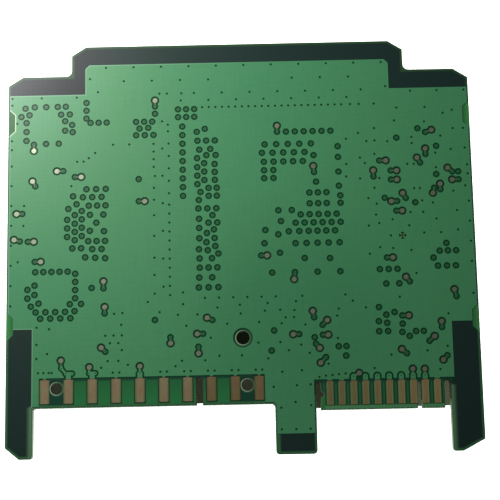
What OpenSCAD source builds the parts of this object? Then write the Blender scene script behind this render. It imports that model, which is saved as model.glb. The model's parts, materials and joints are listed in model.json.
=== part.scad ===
// Plug-in LED driver board: a stepped laminate card with two guide legs and a keyed tab,
// coarse power contacts and fine signal contacts on its bare side, and the driver parts on the other.
// X runs along the contact edge, Y from the contacts to the stepped top edge, Z up from the bench.
// The card lies on the tops of its tallest parts with the bare, contact-carrying side up.

/* [Board outline] */
// Width of the card across both legs
board_w = 40; // [39.5:0.5:50]
// Length of the card from leg tips to top edge
board_l = 35.7; // [35.6:0.1:45]
// Thickness of the laminate
board_t = 0.8; // [0.4:0.1:1.6]
// How far the shoulders lie below the top edge
shoulder_drop = 2.65; // [2.2:0.05:3]
// Width of the left shoulder
left_shoulder_w = 5.5; // [5:0.1:6]
// Width of the right shoulder
right_shoulder_w = 5.6; // [5:0.1:6]
// Run of the corner chamfers along X
corner_run = 1.25; // [0.4:0.05:1.6]
// Rise of the corner chamfers along Y
corner_rise = 0.8; // [0.4:0.05:1.2]
// Radius that the router leaves in inner corners
router_r = 0.5; // [0.2:0.05:0.8]

/* [Legs and tab] */
// How far the legs and the tab reach past the contact edge
leg_reach = 4.2; // [3:0.1:5]
// Width of the left leg
left_leg_w = 2.3; // [2:0.1:2.5]
// Width of the right leg
right_leg_w = 2.7; // [2.6:0.05:2.9]
// Run of the left leg's tip chamfer along X
left_tip_run = 1.15; // [0.4:0.05:1.4]
// Run of the right leg's tip chamfer along X
right_tip_run = 1.8; // [0.4:0.05:2]
// Rise of both tip chamfers along Y
tip_rise = 0.95; // [0.4:0.05:1.4]
// Width of the keyed tab between the two contact rows
tab_w = 3.45; // [3:0.05:3.6]
// Radius of the small outer corners
tip_r = 0.3; // [0.1:0.05:0.4]
// Radius in the corner between the left leg and the contact edge
leg_corner_r = 0.25; // [0.1:0.05:0.5]
// Width of the slot between the tab and the signal tongue
slot_w = 0.38; // [0.3:0.01:0.5]
// How far the slots reach above the contact edge
slot_rise = 1.7; // [1.2:0.05:1.9]
// Radius of the snap relief in the tongue's side
relief_r = 0.25; // [0.15:0.05:0.3]

/* [Power contacts] */
// Number of power contacts
coarse_count = 10; // [9:1:10]
// Pitch of the power contacts
coarse_pitch = 2; // [1.8:0.05:2.05]
// Width of a power contact
coarse_w = 0.8; // [0.5:0.05:0.9]
// Length of a power contact
coarse_l = 2; // [1.5:0.05:2.05]
// Left board edge to the centre of the first power contact
coarse_start = 3.3; // [3.2:0.05:3.4]
// Contact edge to the end of a power contact
coarse_margin = 0.35; // [0.2:0.05:0.4]
// Width of the coding notch in the power row
coarse_notch_w = 0.5; // [0.3:0.05:0.7]

/* [Signal contacts] */
// Number of signal contacts
fine_count = 10; // [9:1:10]
// Pitch of the signal contacts
fine_pitch = 1; // [0.9:0.01:1.02]
// Width of a signal contact
fine_w = 0.57; // [0.4:0.01:0.6]
// Length of a signal contact
fine_l = 2; // [1.5:0.05:2.05]
// Right board edge to the centre of the first signal contact
fine_start = 12.8; // [12.7:0.05:13]
// Tongue edge to the end of a signal contact
fine_margin = 0.4; // [0.3:0.05:0.5]
// How far the signal tongue reaches past the contact edge
tongue_drop = 0.6; // [0.5:0.05:0.8]
// Width of the coding notch in the signal row
fine_notch_w = 0.36; // [0.2:0.02:0.38]

/* [Holes] */
// Diameter of the tooling hole
tooling_d = 1.15; // [0.8:0.05:1.6]
// Height of the tooling hole above the contact edge
tooling_y = 5.6; // [5:0.1:6.5]
// Diameter of the two locating holes between the power contacts
locating_d = 1; // [0.6:0.1:1.1]
// Width of the bare ring round each hole
hole_ring = 0.16; // [0.05:0.01:0.18]
// Gap between the bare ring and the copper round it
hole_isolation = 0.11; // [0.05:0.01:0.13]

/* [Layers] */
// Thickness of the copper foils
copper_t = 0.035; // [0.018:0.001:0.07]
// Thickness of the solder mask over the copper
mask_t = 0.03; // [0.01:0.005:0.05]
// Thickness of the mask over via pads and links, where less of it stays
via_mask_t = 0.02; // [0.01:0.005:0.05]
// Thickness of the gold plating on open copper
plating_t = 0.01; // [0.002:0.001:0.02]
// Clearance from the board edge to the copper
edge_to_copper = 0.15; // [0.1:0.01:0.18]
// Clearance from the board edge to the solder mask
edge_to_mask = 0.06; // [0.02:0.01:0.08]
// Bare gap round copper that is cut off from the pour
isolation = 0.17; // [0.1:0.01:0.18]
// Clearance of a mask opening round its pad
mask_gap = 0.05; // [0.03:0.01:0.07]
// How far the thin film on a copper edge stands out sideways
mask_wrap = 0.01; // [0.005:0.005:0.03]
// Width of the copper-free band along the top edge and shoulders
band_w = 1.7; // [1.4:0.05:1.75]
// Width of the copper-free band along the two steps
step_band_w = 1.2; // [1:0.05:1.3]
// Height of the copper-free leg bands above the contact edge
leg_band_rise = 6.65; // [6:0.05:6.7]
// Height of the copper-free band on the tab's end
tab_band_h = 1.7; // [1:0.1:1.8]
// Length of the copper-free patches where the card broke out of its panel
breakout_l = 2.5; // [2:0.1:2.8]
// Depth of the breakout patches
breakout_w = 0.6; // [0.3:0.05:0.65]

/* [Vias and test pads] */
// Diameter of a via pad
via_d = 0.26; // [0.2:0.01:0.3]
// Diameter of an open test pad
test_d = 0.42; // [0.3:0.01:0.46]
// Drill of the vias, seen as a dimple in their pads
drill_d = 0.12; // [0.06:0.01:0.16]
// Drill of the small ground stitching vias
stitch_d = 0.22; // [0.1:0.01:0.26]
// Width of the link between a test pad and its via
link_w = 0.16; // [0.1:0.01:0.2]
// Width of the necks that lead to the contacts
neck_w = 0.4; // [0.2:0.01:0.44]
// Width of the spokes on the thermal relief
spoke_w = 0.12; // [0.08:0.01:0.16]

/* [Controller package] */
// Side of the controller's moulded body
controller_w = 12; // [11:0.5:12.5]
// Number of leads on each side of the controller
controller_leads_n = 20; // [16:1:21]
// Pitch of the controller's leads
controller_pitch = 0.5; // [0.4:0.05:0.52]
// Reach of a lead past the body
lead_reach = 1; // [0.8:0.05:1.1]
// Length of a lead's foot
foot_l = 0.55; // [0.3:0.05:0.6]
// Thickness of the leads
lead_t = 0.12; // [0.08:0.01:0.2]
// Gap between the board and a leaded body
standoff = 0.15; // [0.1:0.01:0.2]

/* [Power parts] */
// Height of the tallest parts, on which the card rests
part_h = 1.2; // [1.15:0.05:2]
// Side of the power inductor
inductor_w = 4; // [3.5:0.1:4.4]
// Thickness of each inductor flange
flange_t = 0.32; // [0.2:0.02:0.4]
// Diameter of the inductor's drum
drum_d = 1.8; // [1.2:0.1:2.2]
// Diameter of the inductor's wire
wire_d = 0.14; // [0.1:0.01:0.16]
// Length of a tantalum capacitor
bulk_l = 3.5; // [3:0.1:3.8]
// Width of a tantalum capacitor
bulk_w = 2.8; // [2.2:0.1:3]
// Length of the rectifier's body
diode_l = 2.6; // [2:0.1:2.8]
// Width of the rectifier's body
diode_w = 1.6; // [1.2:0.1:1.8]
// Height of the rectifier's body
diode_h = 0.9; // [0.6:0.05:1]

/* [Small packages] */
// Length of the regulator package
regulator_l = 5; // [4:0.5:5.5]
// Width of the regulator package
regulator_w = 4; // [3.5:0.5:4.5]
// Side of the dimming controller package
dimmer_w = 4; // [3:0.5:4]
// Height of the leadless packages
leadless_h = 0.85; // [0.5:0.05:1]
// Pitch of the leadless terminals
leadless_pitch = 0.5; // [0.4:0.05:0.5]
// Side of the gate driver's body
gate_w = 3; // [2.6:0.1:3.2]
// Height of the gate driver's body
gate_h = 0.85; // [0.6:0.05:0.9]
// Pitch of the gate driver's leads
gate_pitch = 0.65; // [0.5:0.05:0.65]
// Length of the oscillator's ceramic case
crystal_l = 3.2; // [2.5:0.1:3.4]
// Width of the oscillator's ceramic case
crystal_w = 2.5; // [2:0.1:2.6]
// Height of the oscillator's ceramic case
crystal_h = 0.55; // [0.4:0.05:0.7]
// Thickness of the oscillator's metal lid
crystal_lid_t = 0.25; // [0.1:0.05:0.35]

/* [Chip parts] */
// Length of a ceramic capacitor
cap_l = 1.6; // [1:0.1:1.7]
// Width of a ceramic capacitor
cap_w = 0.8; // [0.5:0.1:0.9]
// Height of a ceramic capacitor
cap_h = 0.75; // [0.5:0.05:0.9]
// Length of a chip resistor
res_l = 1; // [0.9:0.1:1.2]
// Width of a chip resistor
res_w = 0.5; // [0.4:0.05:0.6]
// Height of a chip resistor
res_h = 0.35; // [0.2:0.05:0.4]

/* [Hidden] */
$fn = 48;
eps = 0.01;
left_x = -board_w / 2;
right_x = board_w / 2;
top_y = board_l / 2;
tip_y = -board_l / 2;
edge_y = tip_y + leg_reach;
tongue_y = edge_y - tongue_drop;
shoulder_y = top_y - shoulder_drop;
step_left_x = left_x + left_shoulder_w;
step_right_x = right_x - right_shoulder_w;
left_leg_x = left_x + left_leg_w;
right_leg_x = right_x - right_leg_w;
slot_top_y = edge_y + slot_rise;

coarse_top_y = edge_y + coarse_margin + coarse_l;
fine_top_y = tongue_y + fine_margin + fine_l;
tongue_side = 0.3;
relief_side = 0.5;
tongue_left_x = fine_x(1) - fine_w / 2 - relief_side;
tongue_right_x = fine_x(fine_count) + fine_w / 2 + tongue_side;
tab_right_x = tongue_left_x - slot_w;
tab_left_x = tab_right_x - tab_w;
coarse_notch_x = coarse_x(7) + coarse_pitch / 2;
fine_notch_x = fine_x(8) + fine_pitch / 2;
locating_x = [coarse_x(1) + coarse_pitch / 2, coarse_x(9) + coarse_pitch / 2];
locating_y = edge_y + coarse_margin + coarse_l * 0.635;
notch_end_gap = 0.05;
moat_w = 0.15;
corner_cut = 0.2;
breakout_y = [edge_y + 24.7, edge_y + 6.9];
right_leg_rim = 0.35;
dimple_shrink = 0.01;

// How far a land runs past its terminal, the solder gap under a body and the depth of a pin-one dimple.
toe = 0.12;
body_gap = 0.05;
dimple_depth = 0.05;

// The solder side of the back foil is the plane on which every part is seated.
seat_z = part_h;
back_z = seat_z + copper_t;
front_z = back_z + board_t;

function coarse_x(i) = left_x + coarse_start + (i - 1) * coarse_pitch;
function fine_x(i) = right_x - fine_start + (i - 1) * fine_pitch;

// Power contacts that join the ground pour, and signal contacts that do.
coarse_ground = [1, 4, 6, 7, 8, 9, 10];
fine_ground = [1, 2, 10];
fine_live = [for (i = [1:fine_count]) if (len(search(i, fine_ground)) == 0) i];

laminate_color = [0.62, 0.66, 0.42];
mask_color = [0.24, 0.56, 0.4];
bare_mask_color = [0.08, 0.2, 0.17];
copper_color = [0.45, 0.62, 0.42];
gold_color = [0.62, 0.48, 0.32];
tin_color = [0.75, 0.76, 0.76];
mould_color = [0.12, 0.12, 0.13];
ferrite_color = [0.28, 0.27, 0.27];
wire_color = [0.6, 0.3, 0.14];
ceramic_color = [0.82, 0.78, 0.68];
lid_color = [0.72, 0.72, 0.7];
tantalum_color = [0.72, 0.52, 0.16];
capacitor_color = [0.62, 0.5, 0.38];
resistor_color = [0.1, 0.1, 0.12];
solder_color = [0.8, 0.81, 0.82];

// ---- Via fields -------------------------------------------------------------------------
// Each row is [x, y, count, x step, y step]. Left rows count X from the left edge, middle rows
// from the centre line and right rows from the right edge. Y counts up from the contact edge.

function along(rows, x0, y0) =
    [for (r = rows) for (i = [0:(len(r) > 2 ? r[2] : 1) - 1])
        [x0 + r[0] + i * (len(r) > 2 ? r[3] : 0), y0 + r[1] + i * (len(r) > 2 ? r[4] : 0)]];

// Loop of vias round the oscillator, and the bend of vias beside it.
oscillator_vias = [[1.5, 26], [2.3, 26.1, 3, 1, 0], [5, 26.1], [4.6, 25.4, 2, 0.75, 0], [4.95, 24.8],
    [5.55, 24.45], [4.95, 23.95, 2, 0.65, -0.15], [1.15, 25.25, 2, 0.7, 0.15], [1.6, 24.7, 3, 0, -0.8],
    [2.25, 22.75], [3.3, 22.8, 2, 1.1, 0], [6.8, 26.4, 3, 0, -0.7], [7.15, 24.6, 3, 0.7, 0]];

// Staggered thermal field under the regulator.
regulator_vias = [[6.8, 18.7, 3, 0.83, 0], [5.65, 18.1], [6.5, 18, 3, 0.8, 0], [5.95, 17.4],
    [7, 17.25, 3, 0.72, 0], [5.25, 17], [5.8, 16.45], [7.1, 16.45], [8.25, 16.45],
    [5.15, 16.05, 3, 0, -0.75], [5.8, 15.7, 3, 0, -0.72], [6.4, 16.8, 4, 0, -0.73], [7.65, 15.75],
    [7.1, 15.05], [8.3, 15], [6.95, 14.15, 3, 0.72, 0], [5.6, 13.55, 2, 0.75, 0],
    [7.3, 13.45, 2, 0.8, 0], [6.7, 12.75, 3, 0.85, -0.05]];

// Ring of heat vias round the power inductor.
inductor_vias = [[2.45, 11.55, 5, 0.69, 0], [5.85, 11.35, 4, 0, -0.7], [5.4, 8.75, 2, 0.95, 0],
    [5.8, 8.15], [5, 8.1, 4, -0.83, 0], [5.45, 7.55, 4, -0.85, 0], [2.75, 8.85], [2.1, 8.6],
    [1.8, 9.3], [2.4, 9.6], [1.8, 10.05], [2.4, 10.4], [7.25, 10.1]];

// Fan-out columns along the controller's left side.
controller_left_vias = [[-5.25, 25.65, 3, 0.7, 0], [-5.25, 24.95, 3, 0.7, 0], [-4.9, 24.1, 9, 0, -0.77],
    [-3.65, 23.6], [-2.95, 23.85], [-3.6, 22.8, 3, 0.75, 0], [-3.45, 22], [-2.5, 22.05], [-3.65, 21.25],
    [-2.85, 21.5, 2, 0.8, 0], [-3.05, 20.8, 3, 0, -0.75], [-3.65, 20.45, 3, 0, -0.75],
    [-2.15, 20.7, 3, 0, -0.7], [-2.7, 18.6, 2, 0.7, 0], [-3.4, 18.25], [-2.7, 17.9, 2, 0.7, 0],
    [-3.55, 17.55], [-3.6, 16.8, 3, 0.77, 0], [-2.4, 16.2], [-3.55, 15.9], [-2.75, 15.55, 2, 0.75, 0],
    [-3.55, 15.1], [-2.3, 14.95], [-2.9, 14.65], [-3.55, 14.2], [-2.25, 14.2], [-2.95, 13.85],
    [-2.2, 13.5], [-3.6, 13.25], [-2.85, 13.15], [-1.95, 12.85], [-3.55, 12.45, 2, 1.05, 0],
    [-3.55, 11.65, 3, 0.75, 0], [-3.6, 10.8, 2, 1.1, 0], [-3.65, 9.95, 3, 0.83, 0],
    [-7.25, 25.95, 2, 0, -0.65], [-8.9, 24.6, 3, 0.7, 0], [-8.6, 24, 2, 0.75, 0.05],
    [-8.9, 23.4, 3, 0.75, 0], [-7.4, 7.25], [-8.7, 19.5]];

// Fan-out rows under the controller's right half.
controller_right_vias = [[3.3, 23.45, 7, 0.77, 0], [2.2, 22.35, 5, 1, 0], [1.95, 21.6, 5, 0.92, 0],
    [6.4, 21.3], [2.1, 20.8, 5, 0.84, 0], [2.1, 20.05, 2, 0.8, 0], [2.1, 19.35, 2, 0.8, 0],
    [6.4, 19.8], [6.55, 18.95], [5.95, 18, 3, 0.73, 0], [5.95, 17.05, 3, 0.73, 0], [3.25, 16.5],
    [4.4, 16.5], [5.15, 16.1, 5, 0.77, 0], [3.45, 15.55], [4.7, 15.38, 6, 0.77, 0], [2.1, 14.8],
    [3.2, 14.4], [4.1, 14.65, 2, 0.9, 0], [5.8, 14.65, 4, 0.75, 0], [2, 13.65], [4.65, 13.6, 5, 0.94, 0],
    [1.7, 12.6], [3.3, 12.8], [5.4, 12.3], [7.55, 12.25], [2.6, 11.1, 4, 1.93, 0],
    [8.5, 22.05, 2, 0, -0.95], [8.5, 19.8, 2, 0, -1.25], [8.6, 17.7, 2, 0, -0.65], [2.65, 6.15],
    [2.4, 4.45], [6.05, 5.5], [8.05, 4.7, 2, 0.65, 0], [8.65, 3.9]];

// Scattered vias and two small fields of the right side.
right_vias = [[-4.55, 23.5], [-3.9, 23.15], [-6.4, 22.7], [-3, 21.9], [-3.1, 19.4], [-5, 16.95],
    [-7.6, 17.4], [-1.2, 19.6], [-2.5, 13.35], [-3.1, 12.7, 3, 0.7, 0], [-3.65, 12.1],
    [-3.3, 11.4, 3, 0.76, 0], [-8.25, 11.2, 3, 0.75, 0], [-7.75, 9.95, 2, 1.1, 0], [-8.45, 7.95],
    [-7.85, 7.3], [-7.15, 7.5], [-8.5, 6.75, 2, 0.7, -0.15], [-6.5, 6.5], [-8.5, 5.9, 2, 0.75, 0],
    [-6.55, 5.8], [-5.95, 5.45], [-5.4, 5.85, 2, 0.65, 0], [-4.3, 5]];

// Each test pad is [x, y, x offset of its via, y offset of its via].
left_tests = [[4.25, 20.35, 0.55, 0], [6.35, 19.8, -0.55, 0], [2.15, 19.5, 0.25, -0.45],
    [0.8, 16.65, 0.5, 0], [0.6, 14.4, 0.5, -0.15], [2.3, 14.2, -0.5, 0], [2.9, 12.45, -0.5, 0],
    [8.25, 10.65, 0, -0.6], [8.35, 8.45, 0, -0.55], [8.05, 5, 0.35, -0.35], [2.25, 22.2, 0, 0.55]];
middle_tests = [[-8.2, 17.55, -0.5, 0], [-3, 7.35, 0.45, -0.2], [-6.1, 5.25, 0, 0.5],
    [-3.85, 6, 0.5, 0], [-3.75, 4.35, 0, 0.55], [4.25, 5.8, 0.5, 0], [6.45, 4.6, -0.3, 0.35],
    [7.2, 5.7, -0.45, 0], [7.15, 6.95, -0.4, -0.4], [5.95, 7.75, 0.1, -0.55], [6.5, 3.35, 0.45, 0.45],
    [3.3, 24, 0, -0.55], [6.35, 20.35, 0.05, -0.55], [2.2, 12.6, -0.5, 0], [4.45, 10.5, 0.08, 0.6],
    [-7.25, 26.5, 0, -0.55]];
right_tests = [[-3.95, 21.7, 0, -0.5], [-4.7, 20.9, 0.25, -0.45], [-7.4, 20.7, -0.55, 0],
    [-8.5, 19.85, 0, -0.55], [-6.5, 19.8, -0.5, 0], [-6.5, 19, -0.5, 0], [-2.1, 19.95, 0.4, -0.35],
    [-1.75, 18.9, 0.55, 0], [-2.8, 18.55, 0, -0.5], [-3.45, 17.75, 0.13, 0.45], [-6.05, 17.8, 0.25, -0.45],
    [-7.05, 17.1, 0.5, 0], [-6.15, 16.25, -0.5, 0], [-7.1, 12.2, -0.5, 0], [-6.05, 10.5, 0.3, -0.4],
    [-2, 9.35, 0.15, -0.6], [-5.95, 7.2, -0.55, 0], [-3.2, 6.65, 0, -0.5], [-3.85, 5.4, -0.45, -0.4],
    [-6.65, 4.35, 0.4, -0.35], [-3.2, 3.4, 0.35, 0.35], [-3.35, 23.35, -0.55, -0.2]];

// Small ground stitching vias, in the same frames as the rows above.
left_stitches = [[0.35, 26.3], [0.8, 24.65], [0.35, 23.1, 2, 0, -0.8], [0.35, 20.85, 8, 0, -1.74],
    [1.45, 17.35], [1.4, 15.6], [0.95, 12.45], [2.6, 6.8, 2, 1.05, -0.15], [2.6, 5.35],
    [3.5, 4.55], [2.6, 4.15], [3.9, 2.95], [9.15, 7.85, 2, 0.7, 0.05], [9.75, 6.9],
    [8.4, 6, 3, 0.7, 0], [8.8, 5.35, 2, 0.7, 0], [9.8, 4.75], [8.6, 3.85, 2, 0.9, 0], [8.05, 3.3],
    [10.3, 3.5], [9.1, 22.6], [7.55, 21.9], [7, 21.45], [6.55, 21.15], [6, 21.15], [5.5, 19],
    [10.5, 22.6]];
middle_stitches = [[-3.15, 25.8, 22, 0.575, 0], [9.7, 25.8, 2, 0.75, 0], [11.75, 25.8],
    [-6.15, 24.3, 2, 0, -0.6], [-6.1, 22.6, 5, 0, -1.1], [-6.1, 17.2, 11, 0, -0.785],
    [-6.65, 24.6, 7, 0, -2.42], [-7.4, 22.6, 4, 0, -0.68], [-7.3, 19.75], [-7.4, 18.7, 2, 0, -1.05],
    [-7.4, 16.3], [-7.4, 14.5, 2, 0, -1.9], [-7.4, 11.1, 2, 0, -1.6], [-8, 8.8], [-7, 7.9],
    [-5, 9.55, 2, 0, -1], [-5.45, 7.65, 2, 1.65, 0], [-3.15, 9.05, 3, 1.2, 0],
    [0.45, 9.05, 3, 1.2, 0], [5.1, 9.05], [8.75, 9.1], [-2.1, 8.2], [-0.2, 8.4],
    [-0.15, 7.65], [-4.75, 6.7], [-1.3, 6.8], [4.55, 8.6], [2.15, 8.5], [1.9, 7.85],
    [3.2, 7.9], [4.4, 7.85], [3.65, 7.25, 2, 0.7, 0], [5.3, 6.6], [8, 7.3], [1.4, 6.9], [3.3, 6.75],
    [9.35, 8.55], [8.15, 7.9], [10.45, 7.95], [-2.7, 5.65], [-2, 4.1, 2, 1.9, 0],
    [-3.2, 3.75], [-5.15, 3.75], [-5.7, 3.3], [1.3, 5.15, 2, 1.85, 0], [4.9, 4.9], [3.85, 4.45],
    [2.1, 3.8], [5.6, 4.2], [8, 5.4], [7.15, 3.25], [3.25, 2.65, 2, 1.65, 0.1],
    [6.35, 2.15, 2, 0.55, 0.1], [7.45, 2.3, 3, 0.55, 0.05], [4.45, 1.5], [2.5, 1.4], [5.6, 1.55],
    [4.3, 0.1], [3.1, -0.35], [5.6, -0.2], [3.1, -2.15, 3, 1.2, 0]];
right_stitches = [[-9.7, 23.2], [-10.75, 22.7], [-9, 22.45], [-9.6, 21], [-10.8, 20.45],
    [-9.2, 20.5], [-10.85, 19.35], [-9.65, 19.15], [-9, 17.4], [-8.3, 23.6, 2, 0, -1.1], [-7.2, 22.4],
    [-8.35, 21.3], [-1.5, 23.45, 2, 0.9, 0], [-2.6, 22.8], [-5.1, 22.75, 2, 0, -0.55], [-3.1, 21.3],
    [-1.75, 21.6, 2, 1.2, 0.1], [-5.55, 20.35, 2, 0.56, 0], [-0.4, 20.2, 2, 0, -0.8], [-3.1, 20],
    [-8, 19.15], [-8.45, 18.3], [-5.05, 18.2, 2, 0.5, 0], [-0.65, 18.35], [-1.7, 17.9], [-8.3, 16.9],
    [-4.4, 17.1, 2, 0.9, -0.2], [-0.4, 17], [-5.45, 16.1, 2, 1.1, 0], [-1.45, 16.2], [-8.4, 15.95],
    [-3.25, 15.5], [-7, 15.5], [-8.15, 15.2], [-9.05, 15], [-5.6, 14.95], [-7.2, 14.1],
    [-4.35, 14.3, 2, 1.45, 0], [-1.45, 14.5], [-0.4, 15.25], [-0.4, 13.5], [-8.15, 13.1, 2, 1.1, -0.1],
    [-5.5, 12.8], [-9.05, 12.55], [-0.4, 11.75], [-5.15, 10.8], [-6.65, 8.8], [-0.4, 9],
    [-2.6, 7.3], [-7.55, 3.9], [-4.5, 4.2], [-9, 2.8], [-2.8, 4.55], [-3.5, 2.6],
    [-6.3, 25.4], [-3.85, 25.4], [-2.3, 24.85], [-1.5, 25.1], [-6.55, 24.25], [-3.95, 24.1]];

// Stitching rows that follow the shoulders and the top edge, with Y counted from that edge.
left_shoulder_stitches = [[0.35, -1.95], [2.9, -1.95], [5.95, -1.95], [7.8, -1.5], [7.1, -0.3]];
right_shoulder_stitches = [[-0.4, -1.95], [-2.75, -1.95], [-5.05, -1.95], [-7.2, -1.5]];
top_stitches = [[-11.5, -1.95, 11, 2.4, 0], [-9.95, -3.2, 4, 2.45, 0], [4.7, -3.2, 3, 2.45, 0],
    [-6.85, -4.4, 2, 0.65, 0], [-4.95, -4.4], [-3.85, -4.4, 7, 2.42, 0], [-5, -5.05, 7, 2.4, 0]];

thermal_mark = [right_x - 6.2, edge_y + 14.1];

via_points = concat(
    along(concat(oscillator_vias, regulator_vias, inductor_vias), left_x, edge_y),
    along(concat(controller_left_vias, controller_right_vias), 0, edge_y),
    along(right_vias, right_x, edge_y));

tests = concat(
    [for (t = left_tests) [t[0] + left_x, t[1] + edge_y, t[2], t[3]]],
    [for (t = middle_tests) [t[0], t[1] + edge_y, t[2], t[3]]],
    [for (t = right_tests) [t[0] + right_x, t[1] + edge_y, t[2], t[3]]]);

stitch_points = concat(
    along(left_stitches, left_x, edge_y),
    along(middle_stitches, 0, edge_y),
    along(right_stitches, right_x, edge_y),
    along(left_shoulder_stitches, left_x, shoulder_y),
    along(right_shoulder_stitches, right_x, shoulder_y),
    along(top_stitches, 0, top_y),
    // A pair of vias on each side of a grounded power contact's neck.
    [for (i = coarse_ground) if (i > 1 && i <= coarse_count) for (s = [-1, 1])
        [coarse_x(i) + s * (neck_w / 2 + 0.08), coarse_top_y + 0.52]],
    [for (s = [-1, 0, 1]) [coarse_x(1) - 0.1 + s * 0.45, coarse_top_y + 0.6]]);

// Nets that run from live contacts to their test pads: [contact x, via offsets, test offset].
via_rise = 0.5;
coarse_nets = [
    [coarse_x(2), [[-0.22, via_rise], [0.3, via_rise], [-0.6, 0.98]], [-0.64, 1.62]],
    [coarse_x(3), [[-0.25, via_rise], [0.25, via_rise]], [-0.25, 1.02]],
    [coarse_x(5), [[0, via_rise]], [0, 1.02]]];
fine_via_rise = 0.35;
fine_tests = [[3, 0.5, 0.62], [8, 0, 0.88], [9, 0, 0.85]];

// ---- Plane shapes of the card ------------------------------------------------------------

// A quarter-round web in an inner corner at [x, y]. The open side lies towards [qx, qy].
module inner_round(x, y, r, qx, qy) {
    translate([x, y]) scale([qx, qy]) difference() {
        translate([-eps, -eps]) square(r + eps);
        translate([r, r]) circle(r);
    }
}

// What a round corner at [x, y] loses. The solid side lies towards [qx, qy].
module outer_round(x, y, r, qx, qy) {
    translate([x, y]) scale([qx, qy]) difference() {
        translate([-1, -1]) square(r + 1);
        translate([r, r]) circle(r);
    }
}

// The card's outline with every edge drawn in by d, before its slots and holes.
module card_shape(d) {
    difference() {
        union() {
            polygon([
                [left_x + d, tip_y + tip_rise + d / 2], [left_x + left_tip_run + d / 2, tip_y + d],
                [left_leg_x - d, tip_y + d], [left_leg_x - d, edge_y + d],
                [tab_left_x + d - corner_cut, edge_y + d], [tab_left_x + d, edge_y + d - corner_cut],
                [tab_left_x + d, tip_y + d], [tab_right_x - d, tip_y + d], [tab_right_x - d, tongue_y + d],
                [right_leg_x + d, tongue_y + d], [right_leg_x + d, tip_y + d],
                [right_x - right_tip_run - d / 2, tip_y + d], [right_x - d, tip_y + tip_rise + d / 2],
                [right_x - d, shoulder_y - corner_rise - d / 2],
                [right_x - corner_run - d / 2, shoulder_y - d],
                [step_right_x - d, shoulder_y - d], [step_right_x - d, top_y - corner_rise - d / 2],
                [step_right_x - corner_run - d / 2, top_y - d],
                [step_left_x + corner_run + d / 2, top_y - d],
                [step_left_x + d, top_y - corner_rise - d / 2], [step_left_x + d, shoulder_y - d],
                [left_x + corner_run + d / 2, shoulder_y - d],
                [left_x + d, shoulder_y - corner_rise - d / 2]]);
            inner_round(step_left_x + d, shoulder_y - d, router_r, -1, 1);
            inner_round(step_right_x - d, shoulder_y - d, router_r, 1, 1);
            inner_round(left_leg_x - d, edge_y + d, leg_corner_r, 1, -1);
        }
        outer_round(left_leg_x - d, tip_y + d, tip_r, -1, 1);
        outer_round(tab_left_x + d, tip_y + d, tip_r, 1, 1);
        outer_round(tab_right_x - d, tip_y + d, tip_r, -1, 1);
        outer_round(right_leg_x + d, tip_y + d, tip_r, 1, 1);
    }
}

// A round-ended slot of width w that is open at the bottom.
module open_slot(x, w, bottom_y, end_y) {
    translate([x - w / 2, bottom_y]) square([w, end_y - w / 2 - bottom_y]);
    translate([x, end_y - w / 2]) circle(w / 2);
}

// Slots and notches, each drawn wider by g.
module edge_cuts(g) {
    open_slot(tab_right_x + slot_w / 2, slot_w + 2 * g, tongue_y - 1, slot_top_y + g);
    translate([tongue_left_x, fine_top_y - fine_l * 0.55]) circle(relief_r + g);
    right_slot_w = right_leg_x - tongue_right_x;
    open_slot(right_leg_x - right_slot_w / 2, right_slot_w + 2 * g, tongue_y - 1, slot_top_y + g);
    open_slot(coarse_notch_x, coarse_notch_w + 2 * g, edge_y - 1, coarse_top_y - notch_end_gap + g);
    open_slot(fine_notch_x, fine_notch_w + 2 * g, tongue_y - 1, fine_top_y - fine_l * 0.08 + g);
}

// Tooling and locating holes, each larger by g all round.
module card_holes(g) {
    translate([0, edge_y + tooling_y]) circle(tooling_d / 2 + g);
    for (x = locating_x) translate([x, locating_y]) circle(locating_d / 2 + g);
}

// The whole card seen from above, drawn in by d.
module card(d) {
    difference() {
        card_shape(d);
        edge_cuts(d);
        card_holes(0);
    }
}

// Where the two contact rows keep the pour away.
module contact_windows() {
    window_left = coarse_x(1) - coarse_w / 2 - moat_w / 2;
    window_right = coarse_x(coarse_count) + coarse_w / 2 + moat_w / 2;
    translate([window_left, edge_y - 1])
        square([window_right - window_left, coarse_top_y + moat_w + 1 - edge_y]);
    fine_left = tab_right_x - moat_w;
    translate([fine_left, tongue_y - 1])
        square([right_x - fine_left, fine_top_y + moat_w + 1 - tongue_y]);
}

// Bands and patches that carry no copper.
module bare_bands() {
    // Leg bands, with the strip of pour beside the first contact left in place.
    leg_strip = 0.1;
    translate([left_x - 1, tip_y - 1])
        square([left_leg_w + 1 - leg_strip, edge_y + leg_band_rise + 1 - tip_y]);
    translate([right_leg_x + right_leg_rim, tip_y - 1])
        square([right_leg_w + 1, edge_y + leg_band_rise + 1 - tip_y]);
    translate([right_leg_x - 0.2, tip_y - 1]) square([right_leg_w + 1, leg_reach]);
    // End of the tab.
    translate([tab_left_x - 0.1, tip_y - 1]) square([tab_w + 0.2, tab_band_h + 1]);
    // Breakout patches on both long sides.
    for (y = breakout_y) {
        breakout(left_x, y, 1);
        breakout(right_x, y, -1);
    }
}

module breakout(x, y, s) {
    slant = breakout_w * 0.9;
    polygon([[x - s, y - breakout_l / 2], [x, y - breakout_l / 2],
        [x + s * breakout_w, y - breakout_l / 2 + slant], [x + s * breakout_w, y + breakout_l / 2 - slant],
        [x, y + breakout_l / 2], [x - s, y + breakout_l / 2]]);
}

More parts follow.
